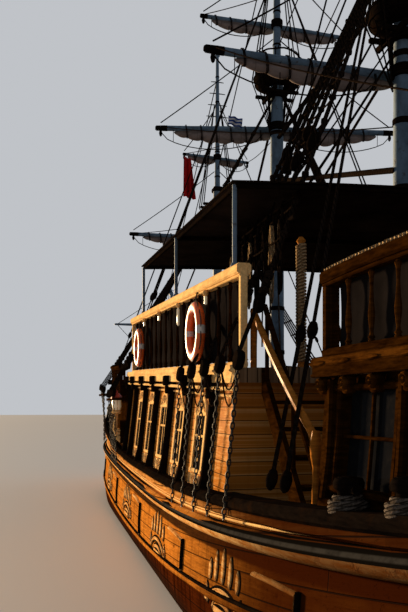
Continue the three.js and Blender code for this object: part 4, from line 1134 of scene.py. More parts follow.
def frame_window(frames, glass, carving, place, x):
    """One window: its arched head, jambs, ledges and bars, its glass, and the carved panel under it."""
    sill = 1.84
    spring = float(upper_deck(x)) - 0.55
    plate_u, plate_t = np.meshgrid(np.linspace(-1, 1, 13), np.linspace(0, 1, 5), indexing="ij")
    top = spring + 0.20 * np.sqrt(np.maximum(1 - (plate_u * 0.97) ** 2, 0.02))
    frames.plate(place, x + plate_u * 0.285, spring + (top - spring) * plate_t, 0.010, -0.02)
    frames.stroke(arc(x, spring, 0.285, 0.205, math.pi, 0), 0.026, 0.026, place)
    for u in (-0.275, 0.275):
        frames.upright(place, x + u, sill - 0.03, spring + 0.02, oblong(0.028, 0.085, 0.25), 0.002, steps=5)
    for v, tall in ((sill - 0.02, 0.05), (spring, 0.045)):
        frames.level(place, v, x - 0.31, x + 0.31, oblong(0.04, tall, 0.25), 0.006)
    frames.upright(place, x, sill, spring, oblong(0.014, 0.035, 0.3), -0.004, steps=4)
    frames.level(place, sill + (spring - sill) * 0.60, x - 0.245, x + 0.245, oblong(0.02, 0.032, 0.3), -0.002)
    pane = np.meshgrid([x - 0.25, x, x + 0.25], np.linspace(sill - 0.01, spring + 0.01, 4), indexing="ij")
    glass.plate(place, *pane, -0.010, -0.018)
    leaves = ((0.20, 1.15, 0.040, 0.03), (0.15, 0.35, 0.032, 0.05), (0.11, 1.9, 0.022, 0.06))
    spray(carving, place, x, spring, 0.035, leaves, -0.9, 0.026, (0.19, 0.062, 0.036, 1.2, 1, 16, 0.011, 0.022))
    low, high = sill - 0.295, sill - 0.06
    plate_z = high + (low - high) * plate_t * (1 - 0.16 * plate_u ** 4)
    frames.plate(place, x + plate_u * 0.27 * (1 - 0.1 * plate_t), plate_z, 0.02, -0.02)
    frames.stroke([[x - 0.275, high], [x - 0.262, low + 0.05], [x - 0.2, low], [x, low - 0.008], [x + 0.2, low],
                   [x + 0.262, low + 0.05], [x + 0.275, high]], 0.016, 0.04, place)
    leaves = ((0.16, 0.15, 0.034, 0.12), (0.15, 0.95, 0.032, 0.10), (0.14, -0.8, 0.032, 0.13))
    spray(carving, place, x, low, 0.03, leaves, 1.1, 0.035, (0.185, 0.07, 0.045, 1.3, -1, 18, 0.013, 0.03))
    carve_with_shade_outline(carving, leaf(x, low + 0.03, 0.19, math.pi / 2, 0), 0.034 * SWELL, 0.04, place)


def raise_rib(ribs, carving, place, x, sign):
    """One rib between the windows: it swells from a slim post to a foot and a head, with a scroll at its head."""
    top = float(upper_deck(x)) - 0.15
    z = np.array([1.505, 1.53, 1.58, 1.66, 1.8, 2.1, 2.4, 2.7, top - 0.12, top - 0.02])
    bulge = [0.17, 0.165, 0.15, 0.12, 0.10, 0.092, 0.09, 0.09, 0.1, 0.12]
    wide = [1.5, 1.45, 1.25, 1.1, 1, 1, 1, 1, 1.1, 1.2]
    ring = np.array([[0.055, -0.03], [0.055, 0.6], [0.04, 0.9], [0, 1], [-0.04, 0.9], [-0.055, 0.6], [-0.055, -0.03]])
    ribs.sweep(place(x, z, 0.0), ring * [1, sign], np.stack([wide, bulge], -1)[None], up=(0, sign, 0.11))
    for half, inner, outer, low, high in ((0.085, 3.56, 3.72, -0.065, 0.085), (0.065, 3.52, 3.69, -0.19, -0.06)):
        ribs.blocks([x - half, sign * inner, top + low], [x + half, sign * outer, top + high], 0.014)
    carving.stroke(spiral(x + 0.19, top + 0.01, 0.062, 1.6, 1, -math.pi / 2, 22), 0.015, 0.03, on_wall(sign, 3.646))


def fit_windows():
    """Windows of the deckhouse, the ribs between them, and the fascia and beads over them."""
    frames, glass, ribs, carving = Mould(), Mould(), Mould(), Mould()
    for sign, _ in SIDES:
        place = on_house(sign)
        for x in WINDOWS:
            frame_window(frames, glass, carving, place, x)
        for x in np.append(WINDOWS - BAY / 2, [WINDOWS[-1] + BAY / 2, 3.5]):
            raise_rib(ribs, carving, place, x, sign)
        ends = np.linspace(-4.9, 3.6, 12)
        frames.sweep(place(ends, upper_deck(ends) - 0.295, 0.01), oblong(0.05, 0.032, 0.3))
        ends = np.linspace(-5.27, 3.65, 14)
        fascia = spot(ends, sign * 3.628, upper_deck(ends) - 0.062)
        frames.sweep(fascia, oblong(0.035, 0.19, 0.2))
        for drop, thick in ((-0.155, 0.022), (0.035, 0.02)):
            frames.sweep(fascia + [0, sign * 0.012, drop], circle(6) * thick)
    frames.piece("window_frames", "pale_rail", slot="pale_rail")
    glass.piece("window_panes", "window_glass")
    # painted shade: the ribs and their head blocks are near black on every face, as dark as the ribs' shaded aft faces
    ribs.piece("house_ribs", "dark_timber", slot="dark_timber")
    carving.piece("window_carving", ["pale_rail", "dark_timber"], slot="pale_rail")
    refinish("house_oak", "deckhouse")
    refinish("deck_planks", "upper_deck", "poop_deck")


BALUSTER = [(0.030, 0), (0.030, 0.06), (0.022, 0.07), (0.036, 0.09), (0.022, 0.115), (0.017, 0.16), (0.030, 0.30),
            (0.032, 0.38), (0.022, 0.50), (0.015, 0.66), (0.020, 0.80), (0.033, 0.86), (0.020, 0.89), (0.028, 0.93),
            (0.028, 1.0)]


def rail_run(mould, path_low, path_high, spacing, cap=(0.13, 0.075), slim=1.0):
    """Turned balusters (second finish) between a bottom rail and a moulded cap, along two lines of like points."""
    length = travelled(path_low)
    count = max(1, round(length[-1] / spacing))
    at = np.linspace(0.03, length[-1] - 0.03, count + 1)
    feet, heads = points_at(at, length, path_low), points_at(at, length, path_high)
    mould.turn(np.array(BALUSTER) * [slim, 1], feet + [0, 0, 0.045], heads - [0, 0, 0.05], sides=8, finish=1)
    ends = [0, -1]
    mould.sweep(np.stack([feet[ends], (feet[ends] + heads[ends]) / 2, heads[ends] - [0, 0, 0.04]], 1),
                oblong(0.075, 0.075, 0.12), up=(1.0, 0, 0))
    mould.sweep(path_low + [0, 0, 0.035], oblong(0.085, 0.06, 0.2))
    wide, tall = cap
    mould.sweep(path_high - [0, 0, tall / 2], oblong(wide, tall, 0.18))
    mould.sweep(path_high - [0, 0, tall + 0.012], oblong(wide * 0.66, 0.03, 0.3))


def lace_shade_cloth(name, low, high):
    """Near black cloth laced inside a rail, a sheet of painted shade: it bellies between its lacings by a few
    millimetres, and is hemmed.
    """
    rows = np.linspace(0, 1, 7)[:, None, None]
    points = low + (high - low) * rows
    length = travelled(low)
    belly = 0.012 * np.sin(rows[..., 0] * math.pi) * np.sin(length * 2 * math.pi / 0.5) ** 2
    inboard = np.cross(np.gradient(low, axis=0), [0, 0, 1.0])
    inboard /= np.linalg.norm(inboard, axis=-1, keepdims=True)
    inboard *= -np.sign(np.sum(inboard * low * [0, 1, 0], -1, keepdims=True) + 1e-9)
    cloth = hang_cloth(name, points + inboard * belly[..., None], "black_cloth", "root")
    lacing = Mould()
    for line in (low, high):
        lacing.sweep(line + inboard * 0.004, circle(6) * 0.008)
    lacing = lacing.piece(f"{name}_lacing", "tarred_rope", slot="tarred_rope")


def raise_rails():
    """Balustrades of the upper deck and forecastle, with near black cloths of painted shade inside and lamps under the
    upper rail.
    """
    for sign, side in SIDES:
        rail = Mould()
        x = np.linspace(-5.25, 3.2, 52)
        y = sign * RAIL_LINE
        rail_run(rail, spot(x, y, upper_deck(x)), spot(x, y, upper_rail(x)), size("upper_balusters"), (0.15, 0.105),
                 0.85)
        lamps = Mould()
        for at, long in ((-3.83, 0.10), (-2.12, 0.26), (-0.46, 0.08), (1.23, 0.07)):
            hook = np.array([at, sign * 3.615, float(upper_rail(at)) - 0.16])
            rail.turn([(0.004, 0), (0.028, 0.15), (0.04, 0.5), (0.028, 0.85), (0.004, 1)], hook - [0, 0, 0.04],
                      hook + [0, 0, 0.04], sides=12)
            lamps.turn([(0.006, 0), (0.019, 0.08), (0.021, 0.9), (0.012, 0.95), (0.01, 1)], hook - [0, 0, 0.04 + long],
                       hook - [0, 0, 0.035], sides=10)
        rail.piece(f"upper_balustrade_{side}", ["pale_rail", "shade_dark_oak"], slot="pale_rail",
                   replaces=[f"upper_rail_{side}"])
        lamps.piece(f"rail_lamps_{side}", "lamp_glass")
        # painted shade: a near black cloth inside the rail, where there is only shade
        x = np.linspace(-5.18, 3.14, 120)
        y = sign * 3.502
        lace_shade_cloth(f"weather_cloth_{side}", spot(x, y, upper_deck(x) + 0.085), spot(x, y, upper_rail(x) - 0.125))
        rail = Mould()
        x = np.linspace(5.3, 11.3, 30)
        edge = np.interp(x, STATIONS, forecastle_top(STATIONS))
        inside = half_breadth(STATIONS) * (1 - 0.02 * (forecastle_top(STATIONS) - 0.6))
        y = sign * (np.interp(x, STATIONS, inside) - 0.03)
        rail_run(rail, spot(x, y, edge), spot(x, y, edge + 0.76), size("forecastle_balusters"))
        rail.piece(f"forecastle_balustrade_{side}", ["shade_dark_oak", "worn_oak"], slot="varnished_wood",
                   replaces=[f"forecastle_rail_{side}"])
    refinish("shade_dark_oak", "forecastle")


def rail_poop():
    """Poop rail: slender posts under a swept cap with a rope laid along its edge, and the rail across the fore end."""
    for sign, side in SIDES:
        rail, rope = Mould(), Mould()
        x = np.linspace(-10.2, -7.13, 34)
        y = sign * poop_side(x)
        foot, head = spot(x, y, POOP_FLOOR), spot(x, y, poop_cap(x))
        width = poop_side(POOP_RAIL_FORE)
        across = np.linspace(-1.88, width, 22) if sign > 0 else np.linspace(-width, -2.72, 6)
        fore_foot = spot(POOP_RAIL_FORE, across, POOP_FLOOR)
        fore_head = fore_foot + [0, 0, float(poop_cap(POOP_RAIL_FORE)) - POOP_FLOOR]
        for low, high in ((foot, head), (fore_foot, fore_head)):
            rail_run(rail, low, high, size("poop_balusters"), (0.125, 0.085), 0.75)
            edge = high + [0, 0, 0.012]
            for start in (0.0, math.pi):
                rope.sweep(helix_along(edge, 0.016, 0.085, start), circle(6) * 0.014, up=(0.3, 0.2, 1.0))
        rail.piece(f"poop_balustrade_{side}", ["shade_dark_oak", "worn_oak"], slot="pale_rail",
                   replaces=[f"poop_rail_{side}"])
        rope.piece(f"poop_rail_rope_{side}", "manila_rope", slot="tarred_rope")
        # painted shade: a near black cloth inside the poop rail, where there is only shade
        x = np.linspace(-10.12, -7.24, 60)
        y = sign * (poop_side(x) - 0.052)
        lace_shade_cloth(f"poop_cloth_{side}", spot(x, y, 3.045), spot(x, y, poop_cap(x) - 0.10))


def helix_along(path, radius, pitch, start):
    """A strand wound round a path: radius (cos a, sin a) across it, and a grows by one turn in each pitch."""
    length = travelled(path)
    at = np.arange(0, length[-1], pitch / 8)
    line = points_at(at, length, path)
    _, across, over = sideways(line, (0, 0, 1.0))
    angle = start + at / pitch * 2 * math.pi
    return line + radius * (np.cos(angle)[:, None] * across + np.sin(angle)[:, None] * over)


def stretch_awning():
    """Awning cloth laid over its bows: it sags between them, and its edge is hemmed."""
    aft, fore, half, thick, _ = AWNING
    bows = np.array(BOWS)
    x = np.unique(np.concatenate([np.linspace(aft + 0.004, fore - 0.004, 60), bows]))
    y = np.linspace(-half + 0.004, half - 0.004, 61)
    gx, gy = np.meshgrid(x, y, indexing="ij")
    bay = np.clip(np.searchsorted(bows, gx) - 1, 0, 1)
    share = np.clip((gx - bows[bay]) / (bows[bay + 1] - bows[bay]), 0, 1)
    inboard = np.clip((half - 0.12 - np.abs(gy)) / 0.5, 0, 1)
    sag = 0.05 * np.sin(share * math.pi) ** 2 * inboard
    pull = 0.006 * np.sin(gy * 9 + gx * 1.3) * np.sin(share * math.pi) * inboard
    gz = awning_top(gx, gy) - thick + 0.004 - sag + pull
    mast = MASTS["mizzen"][0]
    reach = np.hypot(gx - mast, gy)
    push = np.where(reach < 0.24, 0.24 / np.maximum(reach, 1e-6), 1)
    points = spot(mast + (gx - mast) * push, gy * push, gz)
    mesh = bpy.data.meshes.new("awning_cloth")
    quads = lattice(*gx.shape)
    middle = points.reshape(-1, 3)[quads].mean(1)
    quads = quads[np.hypot(middle[:, 0] - mast, middle[:, 1]) > 0.237]
    mesh.from_pydata(points.reshape(-1, 3).tolist(), [], quads[:, ::-1].tolist())
    mesh.validate()
    cloth = bpy.data.objects.new("awning_cloth", mesh)
    bpy.context.scene.collection.objects.link(cloth)
    drop_loose(mesh)
    mesh.polygons.foreach_set("use_smooth", np.ones(len(mesh.polygons), bool))
    wall = cloth.modifiers.new("thickness", "SOLIDIFY")
    wall.thickness, wall.offset = 0.004, 1.0
    mesh.materials.append(finish_named("awning_cloth"))
    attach(cloth, "root")
    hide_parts("awning")
    hem = Mould()
    for sign in (1, -1):
        at = np.linspace(aft + 0.01, fore - 0.01, 30)
        hem.sweep(spot(at, sign * (half - 0.012), awning_top(at, half) - thick + 0.008), circle(8) * 0.011)
    for at in (aft + 0.012, fore - 0.012):
        y = np.linspace(-half + 0.01, half - 0.01, 30)
        hem.sweep(spot(at, y, awning_top(at, y) - thick + 0.008), circle(8) * 0.011)
    hem = hem.piece("awning_hem", "tarred_rope", slot="tarred_rope")
    ring = hoop(mast, 0.255, awning_top(mast, 0) - thick + 0.012, 32)
    boot = Mould().sweep(ring, circle(8) * 0.028, closed=True)
    boot = boot.piece("awning_mast_ring", "manila_rope", slot="tarred_rope")
    posts, frame = Mould(), Mould()
    for x in BOWS:
        for sign, _ in SIDES:
            foot = np.array([x, sign * RAIL_LINE, float(upper_rail(x + 0.03))])
            head = [x, sign * RAIL_LINE, float(awning_top(x, RAIL_LINE)) - thick - 0.02]
            posts.rods(foot, head, 0.026, sides=10)
            posts.turn([(0.05, 0), (0.05, 0.3), (0.03, 1)], foot - [0, 0, 0.004], foot + [0, 0, 0.05], sides=12)
        y = np.linspace(-0.985, 0.985, 25) * half
        frame.sweep(spot(x, y, awning_top(x, y) - thick - 0.0285), oblong(0.052, 0.053, 0.2))
    for sign, _ in SIDES:
        x = np.linspace(aft + 0.035, fore - 0.035, 12)
        frame.sweep(spot(x, sign * (half - 0.07), awning_top(x, half - 0.07) - thick - 0.027),
                    oblong(0.046, 0.05, 0.2))
    posts.piece("awning_posts", "spar_paint", slot="grey_spar")
    frame.piece("awning_bows", "dark_timber", slot="dark_timber", replaces=["awning_frame"])


def drop_loose(mesh):
    """Remove the points of a mesh that no face uses."""
    work = bmesh.new()
    work.from_mesh(mesh)
    bmesh.ops.delete(work, geom=[v for v in work.verts if not v.link_faces], context="VERTS")
    work.to_mesh(mesh)
    work.free()


# Masts, yards and sails


def step_masts():
    """Masts with their hoops, rope wooldings, trestles, tops, crosstrees and trucks."""
    for mast, (x, foot, head, truck, r, top) in MASTS.items():
        spar, bands, timber = Mould(), Mould(), Mould()
        z = np.linspace(0, 1, 12)
        lower = np.stack([mast_radius(mast, foot + z * (head - foot - 0.01)) + 0.002, z], -1)
        spar.turn(lower, [x, 0, foot], [x, 0, head], sides=24)
        z = np.linspace(0, 1, 10)
        upper = np.stack([r * TOPMAST_FOOT + (TRUCK_RADIUS - r * TOPMAST_FOOT) * z + 0.002, z], -1)
        spar.turn(upper, [x, 0, head - DOUBLING], [x, 0, truck], sides=20)
        spar.turn([(0.04, 0), (0.078, 0.15), (0.082, 0.5), (0.06, 0.85), (0.02, 1)], [x, 0, truck - 0.02],
                  [x, 0, truck + 0.06], sides=14)
        for yard in (f"{mast}_lower", f"{mast}_upper"):
            height = YARDS[yard][0]
            at = float(mast_radius(mast, height))
            timber.turn([(at + 0.01, 0), (at + 0.046, 0.2), (at + 0.046, 0.8), (at + 0.01, 1)],
                        [x, 0, height - 0.121], [x, 0, height - 0.0605], sides=16)
        for z0 in np.arange(max(foot + 0.7, 3.9), head - 1.0, 1.05):
            for i in range(4):
                ring = hoop(x, float(mast_radius(mast, z0)) + 0.006, z0 + 0.024 * i, 24)
                bands.sweep(ring, circle(6) * 0.013, closed=True)
        for z0 in np.arange(head + 0.3, truck - 0.5, 0.8):
            reach = float(mast_radius(mast, z0))
            timber.turn([(reach, 0), (reach + 0.012, 0.15), (reach + 0.012, 0.85), (reach, 1)], [x, 0, z0],
                        [x, 0, z0 + 0.05], sides=16)
        spread = 0.47 if mast != "fore" else 0.52
        for sign in (1, -1):
            timber.blocks([x - spread, sign * 0.19 - 0.04, top - 0.13], [x + spread, sign * 0.19 + 0.04, top - 0.03],
                          0.015)
            timber.blocks([x + sign * 0.21 - 0.04, -spread, top - 0.11], [x + sign * 0.21 + 0.04, spread, top - 0.032],
                          0.015)
            timber.sweep([[x + 0.02 * sign, sign * 0.16, top - 0.75], [x, sign * 0.19, top - 0.45],
                          [x, sign * 0.21, top - 0.13]], oblong(0.06, 0.045, 0.3), up=(1, 0, 0))
        timber.turn([(0.12, 0), (0.25, 0.12), (0.25, 0.9), (0.2, 1)], [x, 0, top - 0.17], [x, 0, top - 0.06], sides=20)
        timber.blocks([x - 0.17, -0.15, head - 0.16], [x + 0.2, 0.15, head - 0.02], 0.03)
        for i, z0 in enumerate(np.arange(truck - 1.95, truck - 0.7, 0.37)):
            wide = 0.36 - 0.05 * i
            timber.sweep([[x, -wide, z0], [x, 0, z0 + 0.01], [x, wide, z0]], oblong(0.035, 0.035, 0.3), [0.6, 1, 0.6])
        spar.piece(f"{mast}_mast_spars", "spar_paint", slot="grey_spar", replaces=[f"{mast}_mast"])
        bands.piece(f"{mast}_mast_wooldings", "tarred_rope", slot="tarred_rope")
        timber.piece(f"{mast}_mast_timbers", "dark_timber", slot="dark_timber")
        if mast != "fore":
            hang_top(mast, x, top)


def hang_top(mast, x, top):
    """Round top: a bowl of staves with hoops, stanchions and a rope rail."""
    bowl = Mould()
    z = top - 0.03
    staves = 20
    profile = np.array([[0.205, 0.11], [0.36, 0.11], [0.45, 0.14], [0.515, 0.20], [0.54, 0.28], [0.547, 0.375],
                        [0.537, 0.39], [0.507, 0.385], [0.50, 0.31], [0.45, 0.22], [0.36, 0.18], [0.205, 0.17]])
    n = len(profile)
    k = np.arange(1, n - 1)
    caps = np.concatenate([spot(0, k, k + 1), spot(2 * n, 2 * n + k + 1, 2 * n + k)])
    for i in range(staves):
        turn = (i + np.array([0.03, 0.5, 0.97])) / staves * 2 * math.pi
        reach = profile[:, :1] + np.array([0, 0.006, 0])
        ring = spot(x + reach * np.cos(turn), reach * np.sin(turn), z + profile[:, 1:])
        bowl.add(ring.transpose(1, 0, 2).reshape(-1, 3), lattice(3, n, wrap=True)[:, ::-1], caps)
    for reach, rise in ((0.52, 0.205), (0.552, 0.35)):
        bowl.sweep(hoop(x, reach, z + rise, 40), circle(6) * 0.018, closed=True)
    at = (np.arange(8) + 0.5) / 8 * 2 * math.pi
    feet = spot(x + 0.515 * np.cos(at), 0.515 * np.sin(at), z + 0.37)
    bowl.turn([(0.02, 0), (0.026, 0.05), (0.014, 0.1), (0.014, 0.5), (0.02, 0.52), (0.014, 0.56), (0.014, 0.93),
               (0.024, 0.97), (0.012, 1)], feet, feet + [0, 0, 0.5], sides=8)
    bowl.piece(f"{mast}_round_top", "dark_timber", slot="dark_timber", replaces=[f"{mast}_top"])
    rope = Mould()
    for rise, thick in ((0.84, 0.02), (0.62, 0.012)):
        ring = hoop(x, 0.517, z + rise - 0.02 * np.abs(np.sin(round_turn(40) * 4)) ** 2, 40)
        rope.sweep(ring, circle(8) * thick, closed=True)
    rope.piece(f"{mast}_top_rope", "tarred_rope", slot="tarred_rope")


def cross_yards():
    """Yards with dark tips, parrels, foot ropes and blocks, and the furled sail lashed under each."""
    for number, (yard, (height, half, radius, _, _)) in enumerate(YARDS.items()):
        mast, place = yard.split("_")
        x = MASTS[mast][0]
        r = float(mast_radius(mast, height))
        body = f"{yard}_yard"
        share = np.array([-1, -0.99, -0.93, -0.9, -0.7, -0.45, -0.15, 0.15, 0.45, 0.7, 0.9, 0.93, 0.99, 1])
        girth = radius * np.array([0.4, 0.66, 0.74, 0.74, 0.78, 0.9, 1, 1, 0.9, 0.78, 0.74, 0.74, 0.66, 0.4])
        path = yard_line(yard, share * half)
        spar = Mould()
        spar.sweep(path[3:-3], circle(20), girth[3:-3] + 0.002)
        for ends in (slice(0, 4), slice(-4, None)):
            spar.sweep(path[ends], circle(16), girth[ends] + 0.006, finish=1)
        for rise in (-0.042, 0, 0.042):
            spar.sweep(hoop(x, r + 0.034, height + rise, 28), circle(8) * 0.02, closed=True, finish=1)
        feet = hoop(x, r + 0.035, height - 0.06, 28)[::4]
        spar.turn([(0.008, 0), (0.022, 0.08), (0.022, 0.92), (0.008, 1)], feet, feet + [0, 0, 0.12], sides=8, finish=1)
        spar.piece(f"{yard}_yard_spar", ["spar_paint", "dark_timber"], body, "grey_spar", [f"{yard}_yard"], yard=yard)
        furl_sail(yard, half, radius, body, number)
        gear = Mould()
        t = np.linspace(0, 1, 15)
        for sign in (1, -1):
            span = yard_line(yard, sign * half * (0.1 + 0.86 * t))
            span = span - spot(0.03, 0, radius + (0.42 if place == "lower" else 0.3) * np.sin(t * math.pi) ** 0.5)
            gear.sweep(span, circle(6) * 0.011)
            at = yard_line(yard, sign * half * np.array([0.35, 0.62, 0.85]))
            drop = np.array([0.40, 0.40, 0.28]) * (1 if place == "lower" else 0.7)
            gear.rods(at + [-0.04, 0, 0], at - spot(0.03, 0, drop + radius * 0.6), 0.007)
            tip = yard_line(yard, sign * half * np.array([YARDARM]))
            gear.turn([(0.01, 0), (0.03, 0.15), (0.042, 0.5), (0.03, 0.85), (0.01, 1)], tip + [0, 0, -radius - 0.12],
                      tip + [0, 0, -radius * 0.5], sides=10, finish=1)
        gear.piece(f"{yard}_yard_gear", ["tarred_rope", "dark_timber"], body, "tarred_rope", yard=yard)


def furl_sail(yard, half, radius, body, seed):
    """Furled sail: two long lobes, pinched by each gasket and gathered into uneven folds between them."""
    rng = np.random.default_rng(40 + seed)
    count, sides = 150, 36
    share = np.linspace(-SAIL_SHARE, SAIL_SHARE, count)
    reach = np.minimum(1, np.abs(share) / SAIL_SHARE)
    lobe = 0.32 + 0.68 * np.sin(math.pi * reach ** 0.85) ** 0.8
    tail = np.clip((SAIL_SHARE - np.abs(share)) / 0.05, 0.0, 1) ** 0.6
    pitch = 0.36
    y = share * half
    bay = y / pitch
    pinch = 1 - 0.16 * np.exp(-((bay - np.round(bay)) / 0.13) ** 2)
    puff = 1 + 0.10 * np.interp(bay, np.arange(-14, 15), rng.uniform(-1, 1, 29))
    girth = 2 * radius * np.maximum(0.3, lobe) * pinch * puff * (0.25 + 0.75 * tail)
    centre = yard_line(yard, y) + spot(radius * 0.4, 0, -radius * 0.55 - 2 * radius * np.maximum(0.3, lobe) * 0.7)
    turn = np.arange(sides) / sides * 2 * math.pi
    waves = np.zeros((count, sides))
    for _ in range(9):
        lobes, run, phase = rng.integers(2, 9), rng.uniform(-3, 3), rng.uniform(0, 6.3)
        waves += rng.uniform(0.4, 1) * np.sin(lobes * turn + run * y[:, None] + phase)
    swag = np.abs(np.sin(math.pi * bay))[:, None] * np.clip(-np.sin(turn), 0, 1) * 0.16
    reach = girth[:, None] * (0.93 + 0.035 * waves / 1.6 + swag)
    points = spot(centre[:, None, 0] + reach * 0.74 * np.cos(turn), y[:, None],
                  centre[:, None, 2] + reach * np.sin(turn)).reshape(-1, 3)
    poles = centre[[0, -1]] + [[0, -0.01, 0], [0, 0.01, 0]]
    sail = Mould().add(np.concatenate([points, poles]), lattice(count, sides, wrap=True), end_fans(count, sides),
                       lay=wound_lay(sides, y))
    sail = sail.piece(f"{yard}_furled_sail", "sail_canvas", body, "sail_canvas", [f"{yard}_sail"], 80, yard)
    ties = Mould()
    top = yard_line(yard, y)
    for tie in np.arange(math.ceil(-0.8 * half / pitch), math.floor(0.8 * half / pitch) + 1) * pitch:
        if abs(tie) < 0.24:
            continue
        i = int(np.argmin(np.abs(y - tie)))
        reach = girth[i] * 1.03 + 0.008
        middle = (top[i] + centre[i]) / 2
        upper, lower = top[i, 2] + radius + 0.012, centre[i, 2] - reach - 0.004
        high = (upper - lower) / 2
        ring = spot(middle[0] + (max(radius, reach * 0.76) + 0.012) * np.cos(turn[::2]),
                    tie + 0.02 * np.sin(turn[::2]), (upper + lower) / 2 + high * np.sin(turn[::2]))
        for shift in (0, 0.022):
            ties.sweep(ring + [0, shift, 0], circle(6) * 0.009, closed=True, up=(0, 1, 0))
    ties.piece(f"{yard}_gaskets", "tarred_rope", body, "tarred_rope", yard=yard)


def run_bowsprit():
    """Bowsprit with gammoning and hoops, its sprit yard, and the fore and aft stays."""
    heel, tip, r, tip_r = BOWSPRIT
    spar = Mould()
    t = np.linspace(0, 1, 14)
    spar.turn(np.stack([r + (tip_r - r) * t + 0.002, t], -1), heel, tip, sides=22)
    spar.turn([(0.07, 0), (0.085, 0.2), (0.085, 0.7), (0.05, 1)], tip - (tip - heel) * 0.012,
              tip + (tip - heel) * 0.004, sides=16, finish=1)
    for at in (0.35, 0.5, 0.62, 0.78, 0.9):
        reach = r + (tip_r - r) * at
        spar.turn([(reach, 0), (reach + 0.014, 0.1), (reach + 0.014, 0.9), (reach, 1)], heel + (tip - heel) * at,
                  heel + (tip - heel) * (at + 0.008), sides=18, finish=1)
    spar.piece("bowsprit_spar", ["spar_paint", "dark_timber"], slot="grey_spar", replaces=["bowsprit"])
    y = np.array([-2.65, -2.6, -2.2, -1.3, 0, 1.3, 2.2, 2.6, 2.65])
    yard = Mould().sweep(spot(16.05, y, 5.95), circle(16),
                         0.077 * np.array([0.3, 0.5, 0.6, 0.85, 1, 0.85, 0.6, 0.5, 0.3]))
    yard.piece("sprit_yard_spar", "spar_paint", slot="grey_spar", replaces=["spritsail_yard"])
    rope = Mould()
    run = tip - heel
    for start, step, count, reach, thick in ((0.26, 0.0042, 7, 0.155, 0.016), (0.62, 0.003, 5, 0.118, 0.013)):
        for i in range(count):
            at = heel + run * (start + step * i)
            rope.sweep(helix(at, at + run * step, reach, 1), circle(6) * thick)
    rope.piece("bowsprit_lashings", "tarred_rope", slot="tarred_rope")
    for mast, (start, end, thick) in STAYS.items():
        stay = Mould().rods(start, end, thick, sides=10, steps=40)
        stay.piece(f"{mast}_stay_rope", "tarred_rope", slot="tarred_rope", replaces=[f"{mast}_stay"])


# Standing and running rigging


def shroud_gang(rope, gear, tops, feet, side, bases, thick):
    """Shrouds of one side: served rope to an upper deadeye, a lanyard to the lower one, and its chain below."""
    tops, feet, bases = (np.atleast_2d(v).astype(float) for v in (tops, feet, bases))
    tops = np.broadcast_to(tops, feet.shape)
    way = (tops - feet) / np.linalg.norm(tops - feet, axis=-1, keepdims=True)
    upper = feet + way * 0.72
    rope.rods(upper + way * 0.05, tops, thick, thick * 0.9, sides=8, steps=24)
    for at in (0.12, 0.22, 0.34):
        gear.turn([(thick, 0), (thick * 1.7, 0.2), (thick * 1.7, 0.8), (thick, 1)], upper + way * at,
                  upper + way * (at + 0.09), sides=8, finish=1)
    out = np.array([0, side, 0.15])
    for middle in (upper, feet):
        gear.turn([(0.02, 0), (0.085, 0.08), (0.1, 0.35), (0.1, 0.65), (0.085, 0.92), (0.02, 1)], middle - out * 0.045,
                  middle + out * 0.045, sides=16)
    for shift in (-0.045, 0, 0.045):
        rope.rods(feet + [shift, side * 0.02, 0.02], upper + [shift, side * 0.02, -0.02], 0.011, sides=6)
    length = np.linalg.norm(feet - bases, axis=-1)
    links = int(max(length) / 0.064)
    for i in range(links):
        a, b = i / links, (i + 1.25) / links
        start, end = feet + (bases - feet) * a, feet + (bases - feet) * min(b, 1)
        turn = round_turn(12)[:, None]
        along = (end - start) / 2
        flat = np.array([0.019, 0, 0] if i % 2 else [0, 0.019 * side, 0])
        link = (start + end)[:, None] / 2 + np.cos(turn) * along[:, None] + np.sin(turn) * flat
        for ring in link:
            gear.sweep(ring, circle(5) * 0.0075, closed=True, up=(0, 1.0, 0) if i % 2 else (1.0, 0, 0), finish=2)
    low, high = max(upper[:, 2]) + 0.35, tops[0, 2] - 0.7
    for z in np.arange(low, high, 0.4):
        share = (z - upper[:, 2]) / (tops[:, 2] - upper[:, 2])
        row = upper + (tops - upper) * share[:, None]
        t = np.linspace(0, len(row) - 1, (len(row) - 1) * 4 + 1)
        line = points_at(t, np.arange(len(row)), row)
        line[:, 2] -= 0.02 * np.sin((t % 1) * math.pi)
        line = np.concatenate([line[:1] + (line[0] - line[1]) * 0.25, line, line[-1:] + (line[-1] - line[-2]) * 0.25])
        rope.sweep(line, circle(6) * 0.0115)
        gear.turn([(0.012, 0), (thick * 1.55, 0.2), (thick * 1.55, 0.8), (0.012, 1)], row - way * 0.025,
                  row + way * 0.025, sides=6, finish=1)


